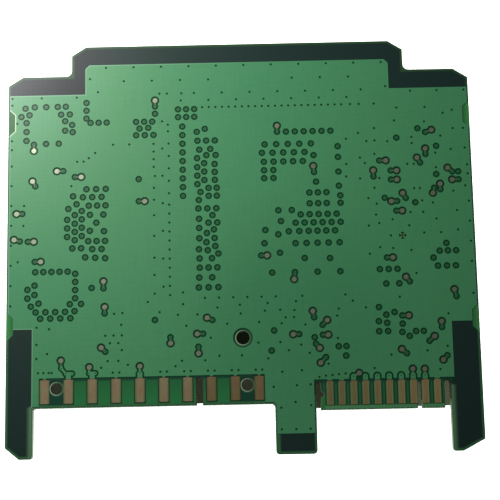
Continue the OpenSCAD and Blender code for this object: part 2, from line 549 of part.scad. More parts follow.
// The outline of the pour along the stepped top, inside its copper-free bands.
module pour_area(g) {
    in_l = step_left_x + step_band_w - g;
    in_r = step_right_x - step_band_w - 0.1 + g;
    in_t = top_y - band_w + g;
    in_s = shoulder_y - band_w + g;
    cut = 0.35;
    intersection() {
        card(edge_to_copper - g);
        polygon([[left_x - 1, tip_y - 1], [right_x + 1, tip_y - 1], [right_x + 1, in_s], [in_r, in_s],
            [in_r, in_t - cut], [in_r - cut, in_t], [in_l + cut, in_t], [in_l, in_t - cut],
            [in_l, in_s], [left_x - 1, in_s]]);
    }
}

// ---- Copper of the bare side -------------------------------------------------------------

// Straight link of width w between two points, drawn wider by g.
module link(a, b, w, g) {
    v = b - a;
    translate(a) rotate(atan2(v[1], v[0])) translate([0, -w / 2 - g]) square([norm(v), w + 2 * g]);
}

// The open discs of the test pads, larger by g.
module test_discs(g) {
    for (t = tests) translate([t[0], t[1]]) circle(test_d / 2 + g);
    for (n = coarse_nets) translate([n[0] + n[2][0], coarse_top_y + n[2][1]]) circle(test_d / 2 + g);
    for (f = fine_tests) translate([fine_x(f[0]) + f[1], fine_top_y + f[2]]) circle(test_d / 2 + g);
}

// Via pads, links and contact necks that are cut off from the pour, larger by g.
module net_shapes(g) {
    for (p = via_points) translate(p) circle(via_d / 2 + g);
    for (t = tests) {
        translate([t[0] + t[2], t[1] + t[3]]) circle(via_d / 2 + g);
        link([t[0], t[1]], [t[0] + t[2], t[1] + t[3]], link_w, g);
    }
    for (n = coarse_nets) {
        stem = [for (v = n[1]) [n[0] + v[0], coarse_top_y + v[1]]];
        test = [n[0] + n[2][0], coarse_top_y + n[2][1]];
        translate([n[0] - neck_w / 2 - g, coarse_top_y]) square([neck_w + 2 * g, via_rise]);
        for (p = stem) translate(p) circle(via_d / 2 + g);
        for (i = [1:1:len(stem) - 1]) link(stem[0], stem[i], i > 1 ? link_w : via_d, g);
        link(stem[len(stem) > 2 ? 2 : 0], test, link_w, g);
    }
    for (i = fine_live) {
        translate([fine_x(i), fine_top_y + fine_via_rise]) circle(neck_w / 2 + g);
        translate([fine_x(i) - neck_w / 2 - g, fine_top_y]) square([neck_w + 2 * g, fine_via_rise]);
    }
    for (f = fine_tests)
        link([fine_x(f[0]), fine_top_y + fine_via_rise],
            [fine_x(f[0]) + f[1], fine_top_y + f[2]], link_w, g);
}

// Centres of all drilled vias that are cut off from the pour.
drill_points = concat(
    via_points,
    [for (t = tests) [t[0] + t[2], t[1] + t[3]]],
    [for (n = coarse_nets) for (v = n[1]) [n[0] + v[0], coarse_top_y + v[1]]],
    [for (i = fine_live) [fine_x(i), fine_top_y + fine_via_rise]]);

module drills(g) {
    for (p = drill_points) translate(p) circle(drill_d / 2 - g);
}

// Necks that join grounded contacts to the pour, larger by g.
module ground_necks(g) {
    for (i = coarse_ground) if (i <= coarse_count)
        translate([coarse_x(i) - neck_w / 4 - g, coarse_top_y]) square([neck_w / 2 + 2 * g, moat_w + eps]);
    for (i = fine_ground) if (i <= fine_count)
        translate([fine_x(i) - neck_w / 2 - g, fine_top_y]) square([neck_w + 2 * g, moat_w + eps]);
}

// The pour, drawn larger by g. Its gaps shrink by as much, and so do its stitching vias.
module pour(g) {
    difference() {
        pour_area(g);
        difference() {
            contact_windows();
            ground_necks(g);
        }
        bare_bands();
        net_shapes(isolation - g);
        test_discs(isolation - g);
        card_holes(hole_ring + hole_isolation - g);
        for (p = stitch_points) translate(p) circle(stitch_d / 2 - g);
        // No sliver of pour stays between two live contacts that share a test pad.
        translate([fine_x(3), fine_top_y]) square([fine_pitch, fine_via_rise]);
        translate(thermal_mark) difference() {
            circle(0.32 - g);
            for (a = [45, 135]) rotate(a) square([1, spoke_w + 2 * g], center = true);
        }
    }
}

module ground_pour() {
    color(copper_color) translate([0, 0, front_z]) linear_extrude(copper_t) pour(0);
}

module net_pads() {
    color(copper_color) translate([0, 0, front_z]) linear_extrude(copper_t) difference() {
        net_shapes(0);
        test_discs(0);
        drills(0);
    }
}

module test_pads() {
    color(gold_color) translate([0, 0, front_z]) linear_extrude(copper_t + plating_t) test_discs(0);
}

// A power contact: a plain pad with slightly eased corners.
module coarse_pad(g) {
    r = 0.08;
    difference() {
        translate([-coarse_w / 2 - g, -g]) square([coarse_w + 2 * g, coarse_l + 2 * g]);
        for (s = [-1, 1]) for (e = [0, 1])
            outer_round(s * (coarse_w / 2 + g), e * coarse_l + (2 * e - 1) * g, r, -s, 1 - 2 * e);
    }
}

// A signal contact, round at its inner end.
module fine_pad(g) {
    r = fine_w * 0.35;
    difference() {
        translate([-fine_w / 2 - g, -g]) square([fine_w + 2 * g, fine_l + 2 * g]);
        for (s = [-1, 1]) outer_round(s * (fine_w / 2 + g), fine_l + g, r, -s, -1);
    }
}

module power_contact(i) {
    color(gold_color) translate([coarse_x(i), edge_y + coarse_margin, front_z])
        linear_extrude(copper_t + plating_t) coarse_pad(0);
}

module signal_contact(i) {
    color(gold_color) translate([fine_x(i), tongue_y + fine_margin, front_z])
        linear_extrude(copper_t + plating_t) fine_pad(0);
}

// Openings of the front solder mask.
module mask_openings() {
    for (i = [1:coarse_count]) translate([coarse_x(i), edge_y + coarse_margin]) coarse_pad(mask_gap);
    for (i = [1:fine_count]) translate([fine_x(i), tongue_y + fine_margin]) fine_pad(mask_gap);
    test_discs(mask_gap);
    card_holes(hole_ring);
    translate(thermal_mark) circle(0.12);
}

// The film dips where the laminate is bare: this part of it fills the gaps and drills in the foil.
module mask_over_laminate() {
    color(bare_mask_color) translate([0, 0, front_z]) linear_extrude(copper_t) {
        difference() {
            card(edge_to_mask);
            pour(0);
            net_shapes(0);
            mask_openings();
        }
        drills(0);
    }
}

// The part of the film that climbs over the copper, with a dimple at every via.
module mask_over_copper() {
    color(mask_color) translate([0, 0, front_z + copper_t]) {
        linear_extrude(mask_t) difference() {
            pour(mask_wrap);
            mask_openings();
        }
        linear_extrude(via_mask_t) difference() {
            net_shapes(mask_wrap);
            mask_openings();
            drills(dimple_shrink);
        }
    }
}

module board_laminate() {
    color(laminate_color) translate([0, 0, back_z]) linear_extrude(board_t) card(0);
}

// ---- Part side of the card ----------------------------------------------------------------

// Every part is modelled upright on its lands at z = 0 and then hung under the card.
module seated(p) {
    translate([p[0], p[1], seat_z]) rotate([180, 0, p[2]]) children();
}

module seated_plan(p) {
    translate([p[0], p[1]]) rotate(p[2]) mirror([0, 1]) children();
}

// A box centred on x and y that stands on z.
module block(l, w, z, h) {
    translate([-l / 2, -w / 2, z]) cube([l, w, h]);
}

// A moulded body with drafted walls and a straight band, of height bt, at height bz.
module moulded_body(l, w, z0, z1, bz, bt) {
    draft = 0.08;
    intersection() {
        rotate([90, 0, 0]) linear_extrude(w + 1, center = true) draft_profile(l, z0, z1, bz, bt, draft);
        rotate([90, 0, 90]) linear_extrude(l + 1, center = true) draft_profile(w, z0, z1, bz, bt, draft);
    }
}

module draft_profile(w, z0, z1, bz, bt, draft) {
    polygon([[-w / 2 + draft, z0], [w / 2 - draft, z0], [w / 2, bz], [w / 2, bz + bt],
        [w / 2 - draft, z1], [-w / 2 + draft, z1], [-w / 2, bz + bt], [-w / 2, bz]]);
}

// The round pin-one dimple in a moulding's top at height z, inset from the corner by d.
module pin_one(l, w, z, d, r, depth) {
    translate([-l / 2 + d, -w / 2 + d, z - depth]) cylinder(r = r, h = depth + eps);
}

// A gull-wing lead of width w that leaves a body's side at x = 0 and height z.
module gull_lead(z, reach, foot, t, w) {
    shoulder = (reach - foot) * 0.45;
    heel = reach - foot;
    bend = t * 0.6;
    rotate([90, 0, 0]) linear_extrude(w, center = true) polygon([[0, z], [shoulder, z], [heel, 0],
        [reach, 0], [reach, t], [heel + bend, t], [shoulder + bend, z + t], [0, z + t]]);
}

// Lands for leads: a foot of length f and width w, with its tip at x = reach.
module foot_land(reach, f, w) {
    translate([reach - f - toe, -w / 2]) square([f + 2 * toe, w]);
}

// -- Controller --
controller_at = [1.6, edge_y + 17.25, 0];
controller_band_z = standoff + (part_h - standoff - lead_t) / 2;
controller_lead_w = controller_pitch * 0.44;
controller_span = (controller_leads_n - 1) * controller_pitch;

module around_controller() {
    for (a = [0:90:270]) for (i = [0:controller_leads_n - 1])
        rotate(a) translate([controller_w / 2, i * controller_pitch - controller_span / 2]) children();
}

module controller_body() {
    color(mould_color) seated(controller_at) difference() {
        moulded_body(controller_w, controller_w, standoff, part_h, controller_band_z, lead_t);
        pin_one(controller_w, controller_w, part_h, 1.3, 0.5, dimple_depth);
    }
}

module controller_leads() {
    color(tin_color) seated(controller_at) around_controller()
        gull_lead(controller_band_z, lead_reach, foot_l, lead_t, controller_lead_w);
}

// -- Power inductor --
inductor_at = [left_x + 4, edge_y + 9.5, 0];
inductor_gap = part_h - body_gap - 2 * flange_t;
inductor_terminal_l = 0.9;

module inductor_core() {
    c = inductor_w * 0.16;
    h = inductor_w / 2;
    color(ferrite_color) seated(inductor_at) {
        for (z = [body_gap, part_h - flange_t]) translate([0, 0, z]) linear_extrude(flange_t)
            polygon([[-h + c, -h], [h - c, -h], [h, -h + c], [h, h - c],
                [h - c, h], [-h + c, h], [-h, h - c], [-h, -h + c]]);
        translate([0, 0, body_gap + flange_t / 2]) cylinder(d = drum_d, h = part_h - body_gap - flange_t);
    }
}

module inductor_winding() {
    turns = floor(inductor_gap / wire_d);
    coil_h = turns * wire_d;
    z0 = body_gap + flange_t + (inductor_gap - coil_h) / 2;
    r_out = inductor_w / 2 * 0.86;
    color(wire_color) seated(inductor_at) translate([0, 0, z0]) rotate_extrude() {
        translate([drum_d / 2, 0]) square([r_out - wire_d / 2 - drum_d / 2, coil_h]);
        for (i = [0:turns - 1]) translate([r_out - wire_d / 2, (i + 0.5) * wire_d]) circle(d = wire_d);
    }
}

module inductor_terminals() {
    color(tin_color) seated(inductor_at) for (s = [-1, 1])
        translate([s * (inductor_w - inductor_terminal_l) / 2, 0])
            block(inductor_terminal_l, inductor_w * 0.6, 0, body_gap);
}

// -- Leadless packages --
regulator_at = [left_x + 6.9, edge_y + 15.7, 90];
dimmer_at = [right_x - 4.8, edge_y + 19.25, 0];
leadless_l = 0.4;
corner_free = 1.4;

// Terminals of a leadless package as a plan, with its heat pad.
module leadless_plan(l, w, g) {
    n_l = floor((l - corner_free) / leadless_pitch);
    n_w = floor((w - corner_free) / leadless_pitch);
    t_w = leadless_pitch * 0.5;
    for (s = [-1, 1]) {
        for (i = [0:n_l]) translate([(i - n_l / 2) * leadless_pitch - t_w / 2 - g,
            s * (w - leadless_l) / 2 - leadless_l / 2 - g]) square([t_w + 2 * g, leadless_l + 2 * g]);
        for (i = [0:n_w]) translate([s * (l - leadless_l) / 2 - leadless_l / 2 - g,
            (i - n_w / 2) * leadless_pitch - t_w / 2 - g]) square([leadless_l + 2 * g, t_w + 2 * g]);
    }
    square([l - 1.6 + 2 * g, w - 1.6 + 2 * g], center = true);
}

module leadless_body(l, w) {
    difference() {
        block(l, w, body_gap, leadless_h - body_gap);
        pin_one(l, w, leadless_h, 0.5, 0.18, dimple_depth);
    }
}

module regulator_body() {
    color(mould_color) seated(regulator_at) leadless_body(regulator_l, regulator_w);
}

module regulator_terminals() {
    color(tin_color) seated(regulator_at) linear_extrude(body_gap)
        leadless_plan(regulator_l, regulator_w, 0);
}

module dimmer_body() {
    color(mould_color) seated(dimmer_at) leadless_body(dimmer_w, dimmer_w);
}

module dimmer_terminals() {
    color(tin_color) seated(dimmer_at) linear_extrude(body_gap)
        leadless_plan(dimmer_w, dimmer_w, 0);
}

// -- Gate driver --
gate_at = [right_x - 7, edge_y + 6.65, 0];
gate_reach = 0.95;
gate_foot = 0.5;
gate_lead_w = gate_pitch * 0.48;
gate_band_z = standoff + (gate_h - standoff - lead_t) / 2;

module around_gate() {
    for (a = [0, 180]) for (i = [0:3]) rotate(a) translate([gate_w / 2, (i - 1.5) * gate_pitch]) children();
}

module gate_driver_body() {
    color(mould_color) seated(gate_at) difference() {
        moulded_body(gate_w, gate_w, standoff, gate_h, gate_band_z, lead_t);
        pin_one(gate_w, gate_w, gate_h, 0.6, 0.22, dimple_depth);
    }
}

module gate_driver_leads() {
    color(tin_color) seated(gate_at) around_gate()
        gull_lead(gate_band_z, gate_reach, gate_foot, lead_t, gate_lead_w);
}

// -- Rectifier --
rectifier_at = [right_x - 2.7, edge_y + 12.1, 90];
rectifier_reach = 0.55;
rectifier_foot = 0.4;
rectifier_lead_w = diode_w * 0.6;
rectifier_band_z = diode_h * 0.4;

module rectifier_body() {
    color(mould_color) seated(rectifier_at)
        moulded_body(diode_l, diode_w, body_gap, diode_h, rectifier_band_z, lead_t);
}

module rectifier_leads() {
    color(tin_color) seated(rectifier_at) for (a = [0, 180]) rotate(a) translate([diode_l / 2, 0])
        gull_lead(rectifier_band_z, rectifier_reach, rectifier_foot, lead_t, rectifier_lead_w);
}

// -- Oscillator --
oscillator_at = [left_x + 3.4, edge_y + 24.5, 0];
oscillator_pad = [0.9, 0.8];

module oscillator_pads(g) {
    inset = 0.05;
    dx = (crystal_l - oscillator_pad[0]) / 2 - inset;
    dy = (crystal_w - oscillator_pad[1]) / 2 - inset;
    for (sx = [-1, 1]) for (sy = [-1, 1]) translate([sx * dx, sy * dy])
        square([oscillator_pad[0] + 2 * g, oscillator_pad[1] + 2 * g], center = true);
}

module oscillator_base() {
    color(ceramic_color) seated(oscillator_at) {
        linear_extrude(body_gap) oscillator_pads(0);
        translate([0, 0, body_gap]) linear_extrude(crystal_h - body_gap) difference() {
            square([crystal_l, crystal_w], center = true);
            for (sx = [-1, 1]) for (sy = [-1, 1])
                translate([sx * crystal_l / 2, sy * crystal_w / 2]) circle(0.15);
        }
    }
}

module oscillator_lid() {
    l = crystal_l - 0.3;
    w = crystal_w - 0.3;
    color(lid_color) seated(oscillator_at) translate([0, 0, crystal_h]) linear_extrude(crystal_lid_t)
        difference() {
            square([l, w], center = true);
            for (sx = [-1, 1]) for (sy = [-1, 1]) outer_round(sx * l / 2, sy * w / 2, 0.3, -sx, -sy);
        }
}

// -- Tantalum capacitors --
tantalum_at = [[left_x + 8.9, edge_y + 5.4, 90], [right_x - 7.4, edge_y + 12.2, 0]];
tab_t = 0.1;
tantalum_tab_l = 0.8;
tantalum_tab_w = bulk_w * 0.78;

module tantalum_capacitors() {
    color(tantalum_color) for (p = tantalum_at) seated(p)
        moulded_body(bulk_l - 2 * tab_t, bulk_w, tab_t, part_h, part_h * 0.45, tab_t);
}

module tantalum_terminals() {
    color(tin_color) for (p = tantalum_at) seated(p) for (a = [0, 180]) rotate(a) {
        translate([bulk_l / 2 - tantalum_tab_l, -tantalum_tab_w / 2, 0])
            cube([tantalum_tab_l, tantalum_tab_w, tab_t]);
        translate([bulk_l / 2 - tab_t, -tantalum_tab_w / 2, 0])
            cube([tab_t, tantalum_tab_w, part_h * 0.45 + tab_t]);
    }
}

// -- Chip parts, each [x, y, angle] in the frames of the via rows --
left_caps = [[2.4, 13.6, 90], [2.4, 16, 90], [2.4, 18.4, 90], [7.4, 9.8, 90], [8.9, 9.8, 90], [7, 20.6, 0]];
middle_caps = [[-7.6, 20.5, 90], [-7.6, 17.9, 90], [-7.6, 15.3, 90], [-7.6, 12.7, 90], [-3.4, 8, 0],
    [-0.6, 8, 0], [2.2, 8, 0], [5, 8, 0], [-4, 26.6, 0], [-1, 26.6, 0], [2, 26.6, 0], [5, 26.6, 0],
    [8, 26.6, 0]];
right_caps = [[-1.3, 17, 90], [-1.3, 19.6, 90], [-1.3, 22.2, 90], [-8.6, 17.4, 90], [-8.6, 20, 90],
    [-8.6, 22.6, 90], [-4.8, 23, 0]];
left_resistors = [[3.6, 20.6, 0], [3.6, 21.6, 0], [9.8, 24.6, 90], [9.8, 22.6, 90], [10, 13.6, 90],
    [10, 15.4, 90], [5, 5.2, 0], [5, 4.2, 0]];
middle_resistors = [[-6.7, 4.6, 90], [-4.7, 4.6, 90], [-2.7, 4.6, 90], [2.6, 4.6, 90], [4.2, 4.6, 90],
    [7.2, 4.2, 0], [9, 4.2, 0]];
right_resistors = [[-2.6, 5.4, 90], [-2.6, 7.4, 90], [-7.8, 3.6, 0], [-5.8, 3.6, 0], [-0.9, 12.1, 90],
    [-6, 25.2, 0], [-4, 25.2, 0]];

function chips(left, middle, right) = concat(
    [for (p = left) [left_x + p[0], edge_y + p[1], p[2]]],
    [for (p = middle) [p[0], edge_y + p[1], p[2]]],
    [for (p = right) [right_x + p[0], edge_y + p[1], p[2]]]);
cap_points = chips(left_caps, middle_caps, right_caps);
resistor_points = chips(left_resistors, middle_resistors, right_resistors);
cap_term = cap_l * 0.22;
res_term = res_l * 0.2;
skin = 0.02;

module chip_body(l, w, h, term) {
    block(l - 2 * term, w - 2 * skin, body_gap, h - body_gap - skin);
}

module chip_terminals(l, w, h, term) {
    for (s = [-1, 1]) translate([s * (l - term) / 2, 0]) block(term, w, 0, h);
}

module chip_lands(l, w, term, g) {
    for (s = [-1, 1]) translate([s * (l + 2 * toe - term) / 2, 0])
        square([term + 3 * toe + 2 * g, w + 2 * body_gap + 2 * g], center = true);
}

module ceramic_capacitors() {
    color(capacitor_color) for (p = cap_points) seated(p) chip_body(cap_l, cap_w, cap_h, cap_term);
}

module capacitor_terminals() {
    color(tin_color) for (p = cap_points) seated(p) chip_terminals(cap_l, cap_w, cap_h, cap_term);
}

module chip_resistors() {
    color(resistor_color) for (p = resistor_points) seated(p) chip_body(res_l, res_w, res_h, res_term);
}

module resistor_terminals() {
    color(tin_color) for (p = resistor_points) seated(p) chip_terminals(res_l, res_w, res_h, res_term);
}

// Concave solder wedges between the end of a chip part and its lands.
module wedges(l, w, h) {
    rise = h * 0.6;
    run = toe * 1.6;
    for (a = [0, 180]) rotate(a) translate([l / 2, 0, 0]) rotate([90, 0, 0])
        linear_extrude(w, center = true)
            polygon([[0, 0], [run, 0], [run * 0.45, rise * 0.3], [0, rise]]);
}

module solder_fillets() {
    color(solder_color) {
        for (p = cap_points) seated(p) wedges(cap_l, cap_w, cap_h);
        for (p = resistor_points) seated(p) wedges(res_l, res_w, res_h);
        for (p = tantalum_at) seated(p) wedges(bulk_l, tantalum_tab_w, part_h * 0.45);
    }
}

// ---- Copper and mask of the part side -------------------------------------------------------

// Single lands, larger by g: those of the chip parts, tantalums, rectifier, inductor and oscillator.
module open_lands(g) {
    for (p = cap_points) seated_plan(p) chip_lands(cap_l, cap_w, cap_term, g);
    for (p = resistor_points) seated_plan(p) chip_lands(res_l, res_w, res_term, g);
    for (p = tantalum_at) seated_plan(p) chip_lands(bulk_l, tantalum_tab_w, tantalum_tab_l, g);
    seated_plan(rectifier_at)
        chip_lands(diode_l + 2 * rectifier_reach, rectifier_lead_w, rectifier_foot, g);
    seated_plan(inductor_at) chip_lands(inductor_w, inductor_w * 0.6, inductor_terminal_l, g);
    seated_plan(oscillator_at) oscillator_pads(toe / 2 + g);
}

// Lands of the leaded and leadless packages, one for each terminal.
module package_lands() {
    seated_plan(controller_at) around_controller() foot_land(lead_reach, foot_l, controller_lead_w + 0.06);
    seated_plan(gate_at) around_gate() foot_land(gate_reach, gate_foot, gate_lead_w + 0.06);
    seated_plan(regulator_at) leadless_plan(regulator_l, regulator_w, 0.04);
    seated_plan(dimmer_at) leadless_plan(dimmer_w, dimmer_w, 0.04);
}

// One shared window for each row of package lands, larger by g.
module package_windows(g) {
    row = controller_span + controller_pitch + 2 * g;
    seated_plan(controller_at) for (a = [0:90:270]) rotate(a)
        translate([controller_w / 2 + lead_reach - foot_l - toe - g, -row / 2])
            square([foot_l + 2 * toe + 2 * g, row]);
    gate_row = 4 * gate_pitch + 2 * g;
    seated_plan(gate_at) for (a = [0, 180]) rotate(a)
        translate([gate_w / 2 + gate_reach - gate_foot - toe - g, -gate_row / 2])
            square([gate_foot + 2 * toe + 2 * g, gate_row]);
    seated_plan(regulator_at) square([regulator_l + 0.1 + 2 * g, regulator_w + 0.1 + 2 * g], center = true);
    seated_plan(dimmer_at) square([dimmer_w + 0.1 + 2 * g, dimmer_w + 0.1 + 2 * g], center = true);
}

module back_copper() {
    color(copper_color) translate([0, 0, seat_z]) linear_extrude(copper_t) difference() {
        card(edge_to_copper);
        contact_windows();
        bare_bands();
        card_holes(hole_ring + hole_isolation);
        open_lands(isolation);
        package_windows(isolation);
    }
}

module component_lands() {
    color(tin_color) translate([0, 0, seat_z]) linear_extrude(copper_t) {
        open_lands(0);
        package_lands();
    }
}

module back_solder_mask() {
    color(mask_color) translate([0, 0, seat_z - mask_t]) linear_extrude(mask_t) difference() {
        card(edge_to_mask);
        card_holes(hole_ring);
        open_lands(mask_gap);
        package_windows(mask_gap);
    }
}

// ---- The assembly ---------------------------------------------------------------------------

board_laminate();
ground_pour();
net_pads();
test_pads();
mask_over_copper();
mask_over_laminate();
back_copper();
component_lands();
back_solder_mask();
for (i = [1:coarse_count]) power_contact(i);
for (i = [1:fine_count]) signal_contact(i);
controller_body();
controller_leads();
inductor_core();
inductor_winding();
inductor_terminals();
regulator_body();
regulator_terminals();
oscillator_base();
oscillator_lid();
gate_driver_body();
gate_driver_leads();
dimmer_body();
dimmer_terminals();
rectifier_body();
rectifier_leads();
tantalum_capacitors();
tantalum_terminals();
ceramic_capacitors();
capacitor_terminals();
chip_resistors();
resistor_terminals();
solder_fillets();
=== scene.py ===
import json
import math

import bpy
from mathutils import Matrix, Vector


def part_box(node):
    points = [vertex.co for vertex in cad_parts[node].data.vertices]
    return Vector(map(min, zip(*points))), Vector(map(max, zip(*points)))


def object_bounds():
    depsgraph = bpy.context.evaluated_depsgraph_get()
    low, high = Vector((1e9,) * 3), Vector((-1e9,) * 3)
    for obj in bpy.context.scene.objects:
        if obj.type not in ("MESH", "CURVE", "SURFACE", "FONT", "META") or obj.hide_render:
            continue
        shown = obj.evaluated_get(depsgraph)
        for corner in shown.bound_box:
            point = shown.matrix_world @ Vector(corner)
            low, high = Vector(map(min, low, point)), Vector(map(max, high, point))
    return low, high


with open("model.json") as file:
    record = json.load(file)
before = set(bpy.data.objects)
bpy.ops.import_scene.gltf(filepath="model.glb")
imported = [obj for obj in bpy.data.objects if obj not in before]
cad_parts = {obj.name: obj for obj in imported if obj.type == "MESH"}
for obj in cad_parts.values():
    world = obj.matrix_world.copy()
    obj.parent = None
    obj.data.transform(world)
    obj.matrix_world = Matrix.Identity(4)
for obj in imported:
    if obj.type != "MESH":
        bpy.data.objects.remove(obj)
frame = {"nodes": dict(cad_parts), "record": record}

cad_low, cad_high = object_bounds()
MM = 0.001
NODES = frame["nodes"]
MOUNTS = {m["name"]: m for m in frame["record"]["mounts"]}


def box_mm(node):
    """Lowest and highest corner of a CAD node, in millimetres."""
    low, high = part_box(node)
    return Vector(low) / MM, Vector(high) / MM


def row_nodes(prefix):
    """The numbered nodes of one contact row, in order."""
    names = [n for n in NODES if n.startswith(prefix)]
    return sorted(names, key=lambda n: int(n.rsplit("_", 1)[1]))


def top_chamfers(left, right, top, run, rise):
    """The two cut-off upper corners of a block, as lines with the block on their left."""
    return [((right, top - rise), (right - run, top)), ((left + run, top), (left, top - rise))]


# ---- Places on the card, in millimetres, worked out from the frame --------------------------

CARD_LOW, CARD_HIGH = box_mm("board_laminate")
POUR_LOW, POUR_HIGH = box_mm("ground_pour")
TOP_Z = box_mm("mask_over_copper")[1].z

# The pads of the two contact rows, from left to right, and the heights at which a row ends.
POWER = [box_mm(n) for n in row_nodes("power_contact_")]
SIGNAL = [box_mm(n) for n in row_nodes("signal_contact_")]
POWER_LOW_Y, POWER_HIGH_Y = POWER[0][0].y, POWER[0][1].y
SIGNAL_LOW_Y, SIGNAL_HIGH_Y = SIGNAL[0][0].y, SIGNAL[0][1].y
PITCH = POWER[1][0].x - POWER[0][0].x
NOTCH_X = (POWER[6][1].x, POWER[7][0].x)

# The outline: the two lower edges, the legs and the tab between them, and the raised middle.
EDGE_Y = POWER_LOW_Y - 0.35
TONGUE_Y = SIGNAL_LOW_Y - 0.4
LEFT_LEG_X = CARD_LOW.x + 2.3
RIGHT_LEG_X = CARD_HIGH.x - 2.7
TAB_X = (POWER[-1][1].x + 1.05, SIGNAL[0][0].x - 0.87)
SHOULDER_Y = CARD_HIGH.y - 2.65
STEP_X = (CARD_LOW.x + 5.5, CARD_HIGH.x - 5.6)

# The copper pour: its shoulders and raised middle, and the bare bands on the legs and the tab.
POUR_SHOULDER_Y = SHOULDER_Y - 1.7
POUR_STEP_X = (STEP_X[0] + 1.2, STEP_X[1] - 1.3)
BAND_TOP_Y = EDGE_Y + 6.65
LEFT_BAND_X = LEFT_LEG_X - 0.1
RIGHT_BAND_X = RIGHT_LEG_X + 0.3
TAB_BAND_Y = CARD_LOW.y + 1.7

# Chamfers, each a line with the card on its left: on the step, on the card's corners, on the pour.
CHAMFER_RUN, CHAMFER_RISE = 1.25, 0.8
LEFT_TIP_RUN, RIGHT_TIP_RUN, TIP_RISE = 1.15, 1.8, 0.95
POUR_CHAMFER = 0.35
STEP_CHAMFERS = top_chamfers(*STEP_X, CARD_HIGH.y, CHAMFER_RUN, CHAMFER_RISE)
CORNER_CHAMFERS = [
    *top_chamfers(CARD_LOW.x, CARD_HIGH.x, SHOULDER_Y, CHAMFER_RUN, CHAMFER_RISE),
    ((CARD_LOW.x, CARD_LOW.y + TIP_RISE), (CARD_LOW.x + LEFT_TIP_RUN, CARD_LOW.y)),
    ((CARD_HIGH.x - RIGHT_TIP_RUN, CARD_LOW.y), (CARD_HIGH.x, CARD_LOW.y + TIP_RISE)),
]
POUR_CHAMFERS = top_chamfers(*POUR_STEP_X, POUR_HIGH.y, POUR_CHAMFER, POUR_CHAMFER)

# Holes as x, y and radius: the tooling hole, and two locating holes between pads.
TOOLING = Vector(MOUNTS["tooling_hole"]["pos_m"]) / MM
TOOLING_R = MOUNTS["tooling_hole"]["dims"]["r_mm"]
LOCATING_X = [(POWER[i][1].x + POWER[i + 1][0].x) / 2 for i in (0, 8)]
LOCATING_Y = POWER_LOW_Y + 1.27
LOCATING_R = 0.5
HOLES = [(TOOLING.x, TOOLING.y, TOOLING_R)] + [(x, LOCATING_Y, LOCATING_R) for x in LOCATING_X]

# The windows in the film round the two rows.
POWER_WINDOW_X = (POWER[0][0].x - 0.08, POWER[-1][1].x + 0.1)
SIGNAL_WINDOW_X = (SIGNAL[0][0].x - 1.2, SIGNAL[-1][1].x + 0.9)
WINDOW_BELOW, WINDOW_ABOVE = 0.75, 0.1

# The patches on both long sides where the card broke from its panel. They are longest at the
# side: both ends draw in by SLANT for each millimetre inwards, and move out by SPREAD for each
# millimetre that a patch is widened.
BREAKOUT_Y = (EDGE_Y + 24.7, EDGE_Y + 6.9)
BREAKOUT_HALF_L = 1.24
BREAKOUT_DEPTH = 0.6
BREAKOUT_SLANT = 0.9
BREAKOUT_SPREAD = 1.35

# Softness of the outlines, to each side of the line.
CARD_SOFT = 0.07
POUR_SOFT = 0.02
BREAKOUT_END_SOFT, BREAKOUT_SIDE_SOFT = 0.03, 0.02


# ---- Node tree shorthand --------------------------------------------------------------------

# The colour sockets of a Mix node, which share their names with its number sockets.
MIX_A, MIX_B, MIX_RESULT = 6, 7, 2


